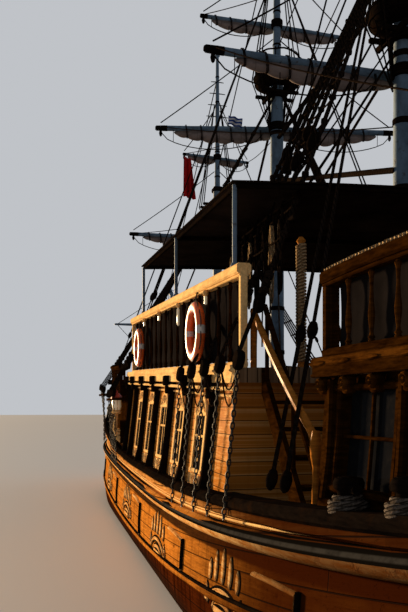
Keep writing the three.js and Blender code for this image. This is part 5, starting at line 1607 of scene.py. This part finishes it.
def dress_gang(rope, gear, top, feet, sign, side):
    """Pin rail lashed across the mizzen shrouds, coils on its pins, purchase blocks above and slack loops below."""
    rng = np.random.default_rng(7)
    way = top - feet
    for z, radius in ((4.62, 0.026), (5.0, 0.018)):
        row = feet + way * ((z - feet[:, 2:]) / way[:, 2:])
        gear.rods(row[0] + [0.18, 0, 0.01], row[-1] - [0.18, 0, 0.01], radius, sides=8)
    row = feet + way * ((4.62 - feet[:, 2:]) / way[:, 2:])
    pins = points_at(np.linspace(0.2, 3.8, 8), np.arange(5), row) + [0, sign * 0.035, 0]
    gear.turn([(0.008, 0), (0.013, 0.1), (0.013, 0.55), (0.02, 0.6), (0.016, 0.8), (0.022, 0.93), (0.006, 1)],
              pins - [0, 0, 0.13], pins + [0, 0, 0.16], sides=8)
    heads = np.array([-1.98, sign * 0.12, 0]) + np.outer([8.4, 11, 9, 13.3, 8.2], [0, 0, 1])
    rope.rods(pins[[0, 2, 4, 5, 7]], heads, [[0.012], [0.014], [0.016], [0.012], [0.018]], sides=6, steps=16, sag=0.04)
    coils = [Mould(), Mould()]
    turn = round_turn(28)
    for i, pin in enumerate(pins):
        for _ in range(4):
            long, wide, lean = rng.uniform(0.26, 0.44), rng.uniform(0.05, 0.085), rng.uniform(-0.03, 0.03)
            drop = long * (1 - np.cos(turn))
            loop = spot(pin[0] + wide * np.sin(turn) * (0.35 + 0.65 * drop / (2 * long)) + lean * drop,
                        pin[1] + sign * (0.012 + rng.uniform(0, 0.03)), pin[2] + 0.03 - drop)
            (rope if i % 3 else coils[0]).sweep(loop, circle(6) * 0.0105, closed=True, up=(0, 1.0, 0))
    for i, long in ((1, 1.5), (2, 1.1), (4, 1.75), (5, 1.3), (6, 0.95), (7, 1.4)):
        t = np.linspace(0, 1, 16)
        line = spot(pins[i, 0] + 0.04 + 0.05 * np.sin(t * 3 + i), pins[i, 1] + sign * 0.02, pins[i, 2] - long * t)
        coils[1].sweep(line, circle(6) * 0.009, up=(0, 1.0, 0))
    coils[0].piece(f"mizzen_coils_{side}", "manila_rope", slot="tarred_rope")
    coils[1].piece(f"mizzen_falls_{side}", "grey_rope", slot="tarred_rope")
    for i, z, size in ((2, 5.75, 1.0), (3, 5.62, 1.1), (3, 6.05, 0.85), (4, 5.72, 1.1), (1, 6.1, 0.8)):
        at = feet[i] + way[i] * (z - feet[i, 2]) / way[i, 2] + [0, sign * 0.05, 0]
        lean = way[i] / np.linalg.norm(way[i])
        gear.turn([(0.02, 0), (0.05, 0.12), (0.068, 0.4), (0.068, 0.62), (0.05, 0.88), (0.018, 1)],
                  at - lean * 0.15 * size, at + lean * 0.15 * size, sides=10)
        gear.sweep(spot(at[0] + 0.072 * size * np.cos(turn), at[1], at[2] + 0.17 * size * np.sin(turn)),
                   circle(5) * 0.009, closed=True, up=(0, 1.0, 0), finish=1)
    for i in range(4):
        for deep in (0.22, 0.38):
            rope.rods(feet[i] - [0.05, 0, 0.05], feet[i + 1] - [-0.05, 0, 0.05], 0.0085, sides=6, steps=16, sag=deep)


def set_up_rigging():
    """Shrouds, ratlines, backstays and topmast stays, with deadeyes and chains, then the lifts and braces."""
    gangs = {  # stations of the feet, height of the heads; the feet's reach and height, and their chains'
        "mizzen": (np.array([-2.9, -3.6, -4.3, -5.0, -5.7]), 10.3, lambda x: 3.74, lambda x: 3.05,
                   lambda x: skin_side(x, 1.32) + 0.13, lambda x: wale_height(x) + 0.13),
        "main": (np.array([3.78, 4.1, 4.42, 4.74, 5.06]), 10.05, lambda x: fore_side(x, 2.9) + 0.31,
                 lambda x: forecastle_top(x) + 0.06, lambda x: skin_side(x, 1.45) + 0.13,
                 lambda x: wale_height(x) + 0.10),
        "fore": (np.array([8.95, 9.25, 9.55, 9.85, 10.15]), 9.0, lambda x: fore_side(9.6, 2.9) + 0.29,
                 lambda x: forecastle_top(x) + 0.05, lambda x: skin_side(x, 1.9) + 0.13,
                 lambda x: wale_height(x) + 0.10),
    }
    for sign, side in SIDES:
        for mast, (x, top, out, rise, base_out, base) in gangs.items():
            rope, gear = Mould(), Mould()
            middle, _, head, _, _, crow = MASTS[mast]
            abaft, spread = (-0.04, 1) if mast == "mizzen" else (0.13, 0.7)
            tops = np.array([middle - abaft, sign * spread * float(mast_radius(mast, top)), top])
            feet = spot(x, sign * out(x), rise(x))
            bases = spot(x - (x - x.mean()) * 0.08, sign * base_out(x), base(x))
            shroud_gang(rope, gear, tops, feet, sign, bases, size(f"{mast}_shroud"))
            if mast == "mizzen":
                dress_gang(rope, gear, tops, feet, sign, side)
            futtock = spot(middle + np.linspace(-0.34, 0.34, 3), sign * 0.52,
                           crow + (-0.06 if mast == "fore" else 0.34))
            rope.rods(futtock, [middle, sign * 0.1, head + 2.6], 0.016, steps=12)
            rope.rods(futtock, [middle, sign * 0.17, crow - 0.95], 0.014, steps=2)
            rope.piece(f"{mast}_shrouds_{side}", "tarred_rope", slot="tarred_rope")
            gear.piece(f"{mast}_deadeyes_{side}", ["dark_timber", "tarred_rope", "iron"], slot="dark_timber")
        run_backstays(sign, side)
    run_stays()
    for yard, (height, half, radius, _, _) in YARDS.items():
        mast, place = yard.split("_")
        for sign, side in SIDES:
            tip = braced(yard, yard_line(yard, sign * half * YARDARM))
            lift = np.array([MASTS[mast][0] + 0.05, sign * 0.09, height + (2.1 if place == "lower" else 1.5)])
            brace = np.array(BRACE_ENDS[mast][place == "upper"]) * [1, sign, 1]
            for kind, start, end, thick, steps, sag in (
                    ("lift", lift, tip + [0, 0, radius + 0.05], 0.013, 24, 0.03),
                    ("brace", brace, tip + [-radius - 0.01, 0, 0], 0.010, 36, 0.12)):
                line = Mould().rods(start, end, thick, steps=steps, sag=sag)
                line = line.piece(f"{yard}_{kind}_{side}", "tarred_rope", None, "tarred_rope")
                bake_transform(line)


def run_backstays(sign, side):
    """Backstays of one side, each with a three-part purchase between two blocks at its foot."""
    rope, gear = Mould(), Mould()
    heads = np.array([[-2, 0.05, 11.6], [-2, 0.05, 11.6], [3.92, 0.03, 13.2], [3.92, 0.03, 13.2], [9.72, 0.03, 12.4]])
    feet = np.array([[-6.5, 3.72, 1.85], [-6.85, 3.72, 1.87], [2.95, 3.7, 3.5], [3.25, 3.72, 3.5], [8.5, 3.55, 3.2]])
    heads, feet = heads * [1, sign, 1], feet * [1, sign, 1]
    way = (heads - feet) / np.linalg.norm(heads - feet, axis=-1, keepdims=True)
    rope.rods(feet + way * 1.7, heads, 0.019, 0.016, sides=8, steps=30)
    for shift in (-0.03, 0, 0.03):
        rope.rods(feet + way * 0.15 + [shift, 0, 0], feet + way * 1.6 + [shift, 0, 0], 0.01, steps=3)
    for at in (0.08, 1.58):
        gear.turn([(0.012, 0), (0.036, 0.12), (0.05, 0.4), (0.05, 0.6), (0.036, 0.88), (0.012, 1)], feet + way * at,
                  feet + way * (at + 0.2), sides=12)
    rope.piece(f"backstays_{side}", "tarred_rope", slot="tarred_rope")
    gear.piece(f"backstay_blocks_{side}", "dark_timber", slot="dark_timber")


def run_stays():
    """Topmast stays, bobstays and the ropes of the sprit yard."""
    stays = Mould()
    stays.rods([[-2, 0, 13.2], [4, 0, 14.6], [9.8, 0, 13.2], [9.8, 0, 11.8], [-2, 0, 11.2]],
               [[4, 0, 11.2], [9.8, 0, 10.2], [18.45, 0, 8.0], [17.3, 0, 7.12], [4, 0, 9.2]],
               [[0.014], [0.016], [0.016], [0.016], [0.012]], sides=8, steps=30, sag=[0.05, 0.05, 0.04, 0.04, 0.06])
    stays.rods([[18.5, 0, 7.95], [17.4, 0, 7.1]], [[13.15, 0, 0.9], [13.2, 0, 1.4]], 0.018, sides=8, steps=10)
    stays.rods([[-2, 0.12, 6.33], [-1.86, 0, 9.45]], [[3.86, 0.12, 8.0], [3.86, 0, 9.06]], 0.05, sides=10, steps=12)
    for sign, _ in SIDES:
        stays.rods([[18.4, 0, 7.9], [16.05, sign * 2.55, 5.95], [16.05, sign * 2.55, 5.95]],
                   [[12.1, sign * 1.35, 2.6], [18.3, 0, 7.85], [13.0, sign * 0.5, 3.2]], 0.011, steps=16,
                   sag=[0.04, 0.03, 0.03])
    stays.piece("topmast_stays", "tarred_rope", slot="tarred_rope")


def hoist_flags():
    """A red flag hanging in folds from the fore yardarm, and a small banded one above the main yard."""
    t, u = np.meshgrid(np.linspace(0, 1, 30), np.linspace(0, 1, 26), indexing="ij")
    x, y, z = yard_line("fore_upper", 1.06)
    fold = 0.05 * np.sin(u * 15 + t * 2.2) * (0.5 + t * 0.7)
    red = spot(x - 0.06 - 0.05 * u + fold, y + 0.02 - u * 0.42 * (0.55 + 0.35 * t), z - 0.09 - t * 1.28 - 0.1 * u)
    blue = spot(4.3 + 0.03 * np.sin(u * 11 + t * 3), 1.12 - u * 0.34, 9.66 - t * 0.22 - 0.06 * u)
    flags = (("red_flag", red, "red_bunting", None, "fore_upper_yard"),
             ("signal_flag", blue, "blue_bunting", "white_bunting", "main_lower_yard"))
    for name, points, finish, second, yard in flags:
        flag = hang_cloth(name, points, finish, yard, second)
        surface_width(points.transpose(1, 0, 2))


def surface_width(points):
    """Mean length of a grid's rows, measured along the surface."""
    return float(np.linalg.norm(np.diff(points, axis=1), axis=-1).sum(1).mean())


def hang_cloth(name, points, finish, body, second=None):
    """A thin closed cloth from a grid of points, whose middle bands may take a second finish."""
    normal = np.cross(np.gradient(points, axis=0), np.gradient(points, axis=1))
    normal /= np.linalg.norm(normal, axis=-1, keepdims=True) + 1e-12
    mould = Mould().shell(points + normal * 0.0012, points - normal * 0.0012)
    if second:
        rows, columns = points.shape[:2]
        cells = (rows - 1) * (columns - 1)
        band = (np.arange(cells) // (columns - 1)) * 5 // (rows - 1) % 2
        mould.finishes[0][:cells] = band
        mould.finishes[0][cells:2 * cells] = band
    return mould.piece(name, [finish, second] if second else finish, body, smooth=80)


# Fittings


def hang_buoys():
    """Ring buoys with banded covers and a grab line looped round each, each hung by two short lines."""
    turn = round_turn(48)
    for sign, side in SIDES:
        for place, x, z in (("aft", -3.36, 3.56), ("fore", 1.78, 3.79)):
            y = sign * 3.6416
            ring = spot(x + 0.315 * np.cos(turn), y, z + 0.315 * np.sin(turn))
            buoy = Mould().sweep(ring, circle(18) * [0.066, 0.060], closed=True, up=(0, 1.0, 0))
            buoy.piece(f"lifebuoy_{place}_{side}_ring", "buoy_orange", slot="buoy_orange",
                       replaces=[f"lifebuoy_{place}_{side}"])
            reach = 0.392 - 0.03 * np.cos(4 * turn) ** 6
            loop = spot(x + reach * np.cos(turn), y + sign * 0.012, z + reach * np.sin(turn))
            line = Mould().sweep(loop, circle(6) * 0.008, closed=True, up=(0, 1.0, 0))
            line.rods([[x - 0.02, y, z + 0.39], [x + 0.02, y, z + 0.39]],
                      [[x, sign * 3.58, z + 0.62], [x + 0.01, sign * 3.58, z + 0.62]], 0.007)
            line.piece(f"lifebuoy_{place}_{side}_line", "grey_rope")


def wind_bitts():
    """Mooring bitts with turned heads and grey rope wound thickly round them."""
    for sign, side in SIDES:
        posts, rope = Mould(), Mould()
        for x, top in ((-7.75, 2.15), (-8.4, 2.21)):
            y = sign * (float(skin_side(x, float(cap_height(x)))) - 0.025)
            base = float(cap_height(x)) + 0.06
            posts.turn([(0.075, 0), (0.075, 0.62), (0.1, 0.7), (0.105, 0.84), (0.09, 0.95), (0.02, 1)],
                       [x, y, base], [x, y, top + 0.004], sides=20)
            for layer, (reach, turns) in enumerate(((0.095, 4), (0.124, 3))):
                path = helix([x, y, base + 0.015], [x, y, base + 0.015 + 0.031 * turns], reach, turns, 0.5 * layer, 20)
                rope.sweep(path, circle(8) * 0.016)
        posts.piece(f"bitt_posts_{side}", "dark_timber", slot="dark_timber")
        rope.piece(f"bitt_windings_{side}", "grey_rope", slot="tarred_rope")


def lantern(mould, x, y, z, wide, sides=6):
    """Lantern with a stepped foot, six glazed panes between bars, a domed roof and a finial."""
    tall = wide * 1.9
    foot = [(0.12, 0), (0.36, 0.04), (0.40, 0.1), (0.30, 0.14), (0.34, 0.17)]
    panes = [(0.28, 0), (0.36, 0.3), (0.36, 0.7), (0.32, 1)]
    roof = [(0.36, 0), (0.47, 0.06), (0.45, 0.16), (0.36, 0.4), (0.2, 0.62), (0.09, 0.72), (0.11, 0.8), (0.05, 0.88),
            (0.07, 0.94), (0.01, 1)]
    parts = ((foot, 0, 1, 16), (panes, 0.17, 0.62, 16), (roof, 0.61, 1, 18))
    for finish, (profile, low, high, count) in enumerate(parts):
        mould.turn(np.array(profile) * [wide, 1], [x, y, z + tall * low], [x, y, z + tall * high], count, finish)
    turn = np.arange(sides) / sides * 2 * math.pi
    ends = [spot(x + wide * reach * np.cos(turn), y + wide * reach * np.sin(turn), z + tall * rise)
            for reach, rise in ((0.31, 0.16), (0.375, 0.63))]
    mould.rods(*ends, wide * 0.03)


def light_lanterns():
    """Side lanterns on carved brackets and the big stern lantern."""
    for sign, side in SIDES:
        lamp = Mould()
        x, wall = 3.85, sign * float(fore_side(3.85, 1.9))
        middle = wall + sign * 0.16
        lantern(lamp, x, middle, 2.46, 0.29)
        for hand in (1, -1):
            lamp.stroke(spiral(wall + sign * 0.13, 2.03, 0.10, 1.5, hand * sign, math.pi / 2 * hand), 0.02, 0.03,
                        on_end(x + 0.025 * hand, hand))
        lamp.sweep([[x, wall, 1.84], [x, wall + sign * 0.1, 1.9], [x, wall + sign * 0.2, 2.12], [x, middle, 2.47]],
                   oblong(0.09, 0.07, 0.3), [1.5, 1.3, 1.1, 0.8], up=(1.0, 0, 0))
        lamp.blocks([x - 0.06, wall - sign * 0.06, 1.8], [x + 0.06, wall + sign * 0.09, 2.32], 0.012, finish=3)
        lamp.piece(f"side_lamp_{side}", ["gilding", "lamp_glass", "red_lead", "shade_dark_oak"], slot="lantern_brass",
                   replaces=[f"side_lantern_{side}"])
    low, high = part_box("stern_lantern")
    lamp = Mould()
    lantern(lamp, (low.x + high.x) / 2, 0, low.z + 0.005, (high.z - low.z) / 1.9, 8)
    lamp.piece("stern_lamp", ["brass", "lamp_glass", "brass"], slot="lantern_brass", replaces=["stern_lantern"])


def on_castle(sign):
    """Maps (x, z, height) to the side of the aftercastle, which leans in over its sill."""
    def place(u, v, high):
        wall = hull_side(u, np.minimum(v, 2.2)) - 0.11 - 0.06 * np.maximum(0, v - 2)
        return spot(u, sign * (wall + high), v)

    return place


def carve_stern():
    """Scrolls and leaves that climb the stern gallery, and a band of small scrolls under its windows."""
    carving, aft = Mould(), on_end(GALLERY_FACE, -1)
    for hand in (-1, 1):
        for v, reach, wide in ((3.55, 1.0, 0.34), (3.35, 1.95, 0.24), (3.2, 2.65, 0.16), (4.1, 0.42, 0.2)):
            scroll = spiral(hand * reach, v, wide, 1.9, hand, math.pi / 2, 40)
            carving.stroke(scroll, 0.16 * wide + 0.012, 0.045, aft)
            for i, angle in enumerate((0.1, 0.7, 1.3, -0.5)):
                heading = angle if hand > 0 else math.pi - angle
                spine = leaf(hand * (reach - 0.1), v - 0.12, wide * 1.3 - 0.03 * i, heading, 0.8 * hand)
                carving.stroke(spine, (0.16 * wide + 0.01) * SWELL, 0.045, aft, crease=0.5)
    for angle in np.radians(np.linspace(20, 160, 9)):
        carving.stroke(leaf(0, 3.1, 0.5, angle, 0.0), 0.06 * SWELL, 0.06, aft, crease=0.45)
    for v in (1.65, 1.85):
        for y in np.linspace(-2.9, 2.9, 15):
            carving.stroke(spiral(y, v, 0.07, 1.3, 1 if y > 0 else -1, 0, 16), 0.014, 0.03, aft)
    carving.piece("stern_carving", "gilding", slot="pale_rail")


def edge_poop(joinery, sign):
    """Moulded edge of the poop deck on one side, with brackets, scrolls and a fringe of leaves."""
    x = np.linspace(-10.33, -7.09, 24)
    edge = spot(x, sign * (poop_side(x) + 0.085), 2.9)
    joinery.sweep(edge, oblong(0.03, 0.15, 0.2))
    joinery.sweep(edge + [0, sign * 0.014, 0.035], oblong(0.028, 0.06, 0.4), finish=1)
    joinery.sweep(edge + [0, sign * 0.014, -0.062], circle(6) * 0.014)
    for x in np.arange(-7.2, -10.2, -0.36):
        wall = float(poop_side(x)) + 0.012
        joinery.blocks([x - 0.055, sign * wall, 2.7], [x + 0.055, sign * (wall + 0.07), 2.826], 0.02)
        joinery.stroke(spiral(x, 2.765, 0.05, 1.4, sign, 0, 18), 0.014, 0.03, on_wall(sign, wall + 0.068), finish=1)
        joinery.stroke(leaf(x - 0.15, 2.925, 0.3, 0.0, 0.0), 0.022 * SWELL, 0.028, on_wall(sign, wall + 0.088),
                       finish=1, crease=0.5)


def dress_stern():
    """Windows of the stern gallery and the aftercastle, the gallery's carving and the carved edge of the poop."""
    gilt, glass, dark = Mould(), Mould(), Mould()
    aft, fore, athwart = on_end(GALLERY_FACE, -1), on_end(CASTLE_FACE, 1), (0, 1.0, 0)
    for y in (-1.7, -0.6, 0.6, 1.7):
        for u in (-0.325, 0.325):
            gilt.upright(aft, y + u, 2.14, 2.74, oblong(0.05, 0.05, 0.25), 0.01, athwart)
        for v in (2.16, 2.72):
            gilt.level(aft, v, y - 0.35, y + 0.35, oblong(0.05, 0.045, 0.25), 0.012)
        for u in (-0.1, 0.1):
            gilt.upright(aft, y + u, 2.18, 2.7, oblong(0.02, 0.02, 0.25), -0.03, athwart)
        gilt.level(aft, 2.44, y - 0.3, y + 0.3, oblong(0.02, 0.02, 0.25), -0.03)
        glass.plate(aft, *np.meshgrid([y - 0.3, y, y + 0.3], [2.175, 2.44, 2.705], indexing="ij"), -0.06, -0.07)
    for sign, _ in SIDES:
        castle = on_castle(sign)
        for x in (-7.75, -8.65, -9.55):
            for u in (-0.37, 0.37):
                dark.upright(castle, x + u, 2.0, 2.78, oblong(0.055, 0.06, 0.25), 0.012)
            for v in (2.035, 2.745):
                dark.level(castle, v, x - 0.41, x + 0.41, oblong(0.07, 0.05, 0.25), 0.016)
            dark.upright(castle, x, 2.05, 2.73, oblong(0.024, 0.03, 0.25), -0.03)
            dark.level(castle, 2.4, x - 0.34, x + 0.34, oblong(0.03, 0.024, 0.25), -0.03)
            pane = np.meshgrid([x - 0.345, x, x + 0.345], [2.05, 2.4, 2.725], indexing="ij")
            glass.plate(castle, *pane, -0.055, -0.065)
        for x in (-7.3, -8.2, -9.1, -9.98):
            dark.upright(castle, x, 1.95, 2.8, oblong(0.1, 0.07, 0.25), 0.02, steps=4, scale=[1.15, 1, 1, 1.2])
        edge_poop(dark, sign)
    for y in (-2.1, 2.1):
        glass.plate(fore, *np.meshgrid([y - 0.455, y, y + 0.455], [1.69, 2.1, 2.61], indexing="ij"), -0.05, -0.06)
        for u in (-0.48, 0.48):
            dark.upright(fore, y + u, 1.64, 2.66, oblong(0.06, 0.05, 0.25), 0.012, athwart)
        for v in (1.67, 2.63):
            dark.level(fore, v, y - 0.5, y + 0.5, oblong(0.06, 0.05, 0.25), 0.014)
        for u in (-0.15, 0.15):
            dark.upright(fore, y + u, 1.7, 2.6, oblong(0.024, 0.03, 0.25), -0.025, athwart)
        for v in (2.0, 2.3):
            dark.level(fore, v, y - 0.45, y + 0.45, oblong(0.03, 0.024, 0.25), -0.025)
    gilt.piece("stern_frames", "pale_rail", slot="pale_rail")
    dark.piece("castle_joinery", ["shade_dark_oak", "worn_oak"], slot="varnished_wood")
    glass.piece("stern_panes", "window_glass")
    carve_stern()
    refinish("end_oak", "stern_gallery")
    refinish("shade_dark_oak", "companion_stair", "poop_ladder", "aftercastle", "deckhouse_door", "aftercastle_door")
    refinish("joinery", "helm_pedestal", "helm_wheel", "foredeck_skylight")


def hang_handrail():
    """Varnished handrail down the companion stair to a newel, and rope-wound stanchions at the head of the stair."""
    rail, rope = Mould(), Mould()
    t = np.linspace(0, 1, 15)
    rail.sweep(spot(-5.12 - 1.68 * t, 3.42, 3.60 - 1.25 * t - 0.05 * np.sin(t * math.pi)), oblong(0.06, 0.075, 0.35))
    rail.turn([(0.045, 0), (0.045, 0.3), (0.03, 0.34), (0.036, 0.6), (0.028, 0.8), (0.045, 0.86), (0.05, 0.93),
               (0.03, 1)], [-6.8, 3.42, 0.951], [-6.8, 3.42, 2.42], sides=12)
    rail.turn([(0.035, 0), (0.035, 1)], [-5.14, 3.42, float(upper_deck(-5.14))], [-5.14, 3.42, 3.6], sides=10)
    for y in (2.92, -2.92):
        foot = float(upper_deck(-5.18))
        rail.turn([(0.05, 0), (0.034, 0.04), (0.034, 0.95), (0.05, 0.97), (0.02, 1)], [-5.18, y, foot],
                  [-5.18, y, foot + 1.36], sides=12)
        rope.sweep(helix([-5.18, y, foot + 0.06], [-5.18, y, foot + 1.28], 0.044, 36, per_turn=10), circle(6) * 0.0165,
                   up=(1.0, 0.2, 0))
    rail.piece("companion_handrail", "joinery", slot="varnished_wood")
    rope.piece("stanchion_ropes", "manila_rope", slot="tarred_rope")


def set_stage():
    """A plain pale floor at the waterline, soft lights, and the camera at the photograph's place."""
    mesh = bpy.data.meshes.new("floor")
    mesh.from_pydata([(-260, -260, 0), (260, -260, 0), (260, 260, 0), (-260, 260, 0)], [], [(0, 1, 2, 3)])
    mesh.materials.append(finish_named("floor_finish"))
    floor = bpy.data.objects.new("floor", mesh)
    bpy.context.scene.collection.objects.link(floor)
    world = bpy.data.worlds.new("studio")
    bpy.context.scene.world = world
    world.use_nodes = True
    nodes, links = world.node_tree.nodes, world.node_tree.links
    soft, backdrop, choice, path = (nodes["Background"], nodes.new("ShaderNodeBackground"),
                                    nodes.new("ShaderNodeMixShader"), nodes.new("ShaderNodeLightPath"))
    soft.inputs["Color"].default_value, soft.inputs["Strength"].default_value = (0.80, 0.88, 1.0, 1), 0.22
    backdrop.inputs["Color"].default_value, backdrop.inputs["Strength"].default_value = (0.85, 0.88, 0.93, 1), 0.62
    for start, end in ((path.outputs["Is Camera Ray"], choice.inputs[0]), (soft.outputs[0], choice.inputs[1]),
                       (backdrop.outputs[0], choice.inputs[2]), (choice.outputs[0], nodes["World Output"].inputs[0])):
        links.new(start, end)
    for name, kind, place, size, power, colour in (
            ("key", "SUN", (94, 44, 11), 0.09, 10.0, (1.0, 0.71, 0.40)),
            ("fill", "AREA", (-34, 12, 20), 16, 200, (0.90, 0.94, 1.0)),
            ("back", "AREA", (6, -50, 34), 44, 3400, (0.9, 0.94, 1.0))):
        light = bpy.data.lights.new(name, kind)
        light.energy, light.color = power, colour
        setattr(light, "angle" if kind == "SUN" else "size", size)
        lamp = bpy.data.objects.new(name, light)
        lamp.location = place
        lamp.rotation_euler = (Vector((-1, 0, 4)) - Vector(place)).to_track_quat("-Z", "Y").to_euler()
        bpy.context.scene.collection.objects.link(lamp)
    bpy.context.scene.view_settings.view_transform = "Standard"
    camera = bpy.data.objects.new("camera", bpy.data.cameras.new("camera"))
    camera.data.lens, camera.data.sensor_width = 41.18, 36
    camera.data.shift_y = 102 / 612
    camera.data.clip_end = 600
    camera.location = (-12.0, 5.55, 2.6)
    camera.rotation_euler = (math.pi / 2, 0, math.radians(-13.19 - 90))
    bpy.context.scene.collection.objects.link(camera)
    bpy.context.scene.camera = camera


# The add-on


def length_property(name, description, default):
    """A size on the panel, in metres."""
    return FloatProperty(name=name, description=description, default=default, min=0.001, unit="LENGTH", precision=3)


class ShipSizes(bpy.types.PropertyGroup):
    """Sizes of the ship's planks, ropes and balusters."""

    strake_width: length_property("Strake width", "Width of the hull's planks", 0.19)
    strake_length: length_property("Strake length", "Length of the hull's planks", 3.4)
    house_plank: length_property("House plank", "Width of the planks of the deckhouse", 0.145)
    deck_plank: length_property("Deck plank", "Width of the planks of the decks", 0.11)
    mizzen_shroud: length_property("Mizzen shroud", "Radius of the mizzen shrouds", 0.029)
    main_shroud: length_property("Main shroud", "Radius of the main shrouds", 0.03)
    fore_shroud: length_property("Fore shroud", "Radius of the fore shrouds", 0.025)
    upper_balusters: length_property("Upper balusters", "Spacing of the balusters of the upper deck", 0.5)
    forecastle_balusters: length_property("Forecastle balusters", "Spacing of the forecastle's balusters", 0.42)
    poop_balusters: length_property("Poop balusters", "Spacing of the balusters of the poop", 0.32)


def colour_property(name, description, default):
    """A colour on the panel."""
    return FloatVectorProperty(name=name, description=description, default=default, min=0, max=1, subtype="COLOR")


class ShipColours(bpy.types.PropertyGroup):
    """Colours of the ship's finishes."""

    varnish: colour_property("Varnish", "Varnished oak of the upper sides and the deckhouse", (0.66, 0.235, 0.032))
    bottom: colour_property("Lower hull", "Redder, darker oak towards the water", (0.27, 0.055, 0.010))
    trim: colour_property("Trim", "Pale gold paint of rails, frames and carving", (0.88, 0.57, 0.24))
    spar: colour_property("Spars", "Grey-blue paint of masts and yards", (0.13, 0.20, 0.28))
    canvas: colour_property("Sails", "Weathered sailcloth", (0.21, 0.165, 0.15))
    awning: colour_property("Awning", "Awning cloth", (0.030, 0.020, 0.016))
    buoy: colour_property("Lifebuoys", "Painted ring of the lifebuoys", (0.85, 0.14, 0.02))


class SHIP_OT_hull(bpy.types.Operator):
    """Lay the planking, wales and rails over the hull"""

    bl_idname = "ship.hull"
    bl_label = "Hull planking"

    def execute(self, context):
        lay_hull()
        carve_reliefs()
        return {"FINISHED"}


class SHIP_OT_house(bpy.types.Operator):
    """Fit the windows, ribs and carving of the deckhouse, and the balustrades over it"""

    bl_idname = "ship.house"
    bl_label = "Deckhouse and rails"

    def execute(self, context):
        fit_windows()
        raise_rails()
        rail_poop()
        hang_handrail()
        return {"FINISHED"}


class SHIP_OT_awning(bpy.types.Operator):
    """Stretch the awning over its bows"""

    bl_idname = "ship.awning"
    bl_label = "Awning"

    def execute(self, context):
        stretch_awning()
        return {"FINISHED"}


class SHIP_OT_masts(bpy.types.Operator):
    """Step the masts, cross the yards with their furled sails and run out the bowsprit"""

    bl_idname = "ship.masts"
    bl_label = "Masts, yards and sails"

    def execute(self, context):
        step_masts()
        cross_yards()
        run_bowsprit()
        return {"FINISHED"}


class SHIP_OT_rigging(bpy.types.Operator):
    """Set up the shrouds, stays, lifts and braces, and hoist the flags"""

    bl_idname = "ship.rigging"
    bl_label = "Rigging and flags"

    def execute(self, context):
        set_up_rigging()
        hoist_flags()
        return {"FINISHED"}


class SHIP_OT_stern(bpy.types.Operator):
    """Dress the stern gallery and the aftercastle"""

    bl_idname = "ship.stern"
    bl_label = "Stern"

    def execute(self, context):
        dress_stern()
        return {"FINISHED"}


class SHIP_OT_fittings(bpy.types.Operator):
    """Hang the lifebuoys and lanterns, and wind the bitts"""

    bl_idname = "ship.fittings"
    bl_label = "Fittings"

    def execute(self, context):
        hang_buoys()
        wind_bitts()
        light_lanterns()
        return {"FINISHED"}


class SHIP_OT_stage(bpy.types.Operator):
    """Set the floor, the lights and the camera"""

    bl_idname = "ship.stage"
    bl_label = "Stage and camera"

    def execute(self, context):
        set_stage()
        return {"FINISHED"}


OPERATORS = (SHIP_OT_stage, SHIP_OT_hull, SHIP_OT_house, SHIP_OT_awning, SHIP_OT_masts, SHIP_OT_rigging, SHIP_OT_stern,
             SHIP_OT_fittings)


class SHIP_PT_dresser(bpy.types.Panel):
    """Sizes and colours of the ship and a button for each group of pieces"""

    bl_label = "Tall Ship"
    bl_space_type = "VIEW_3D"
    bl_region_type = "UI"
    bl_category = "Tall Ship"

    def draw(self, context):
        for group, kind in ((context.scene.ship_sizes, ShipSizes), (context.scene.ship_colours, ShipColours)):
            for name in kind.__annotations__:
                self.layout.prop(group, name)
        for operator in OPERATORS:
            self.layout.operator(operator.bl_idname)


CLASSES = (ShipSizes, ShipColours, *OPERATORS, SHIP_PT_dresser)


def register():
    """Add the classes to Blender, and their properties to the scene."""
    for one in CLASSES:
        bpy.utils.register_class(one)
    bpy.types.Scene.ship_sizes = PointerProperty(type=ShipSizes)
    bpy.types.Scene.ship_colours = PointerProperty(type=ShipColours)


def unregister():
    """Take the properties and the classes away again."""
    del bpy.types.Scene.ship_colours, bpy.types.Scene.ship_sizes
    for one in reversed(CLASSES):
        bpy.utils.unregister_class(one)


def main():
    """Build each group of pieces in turn."""
    register()
    for operator in OPERATORS:
        group, name = operator.bl_idname.split(".")
        getattr(getattr(bpy.ops, group), name)()


if __name__ == "__main__":
    main()
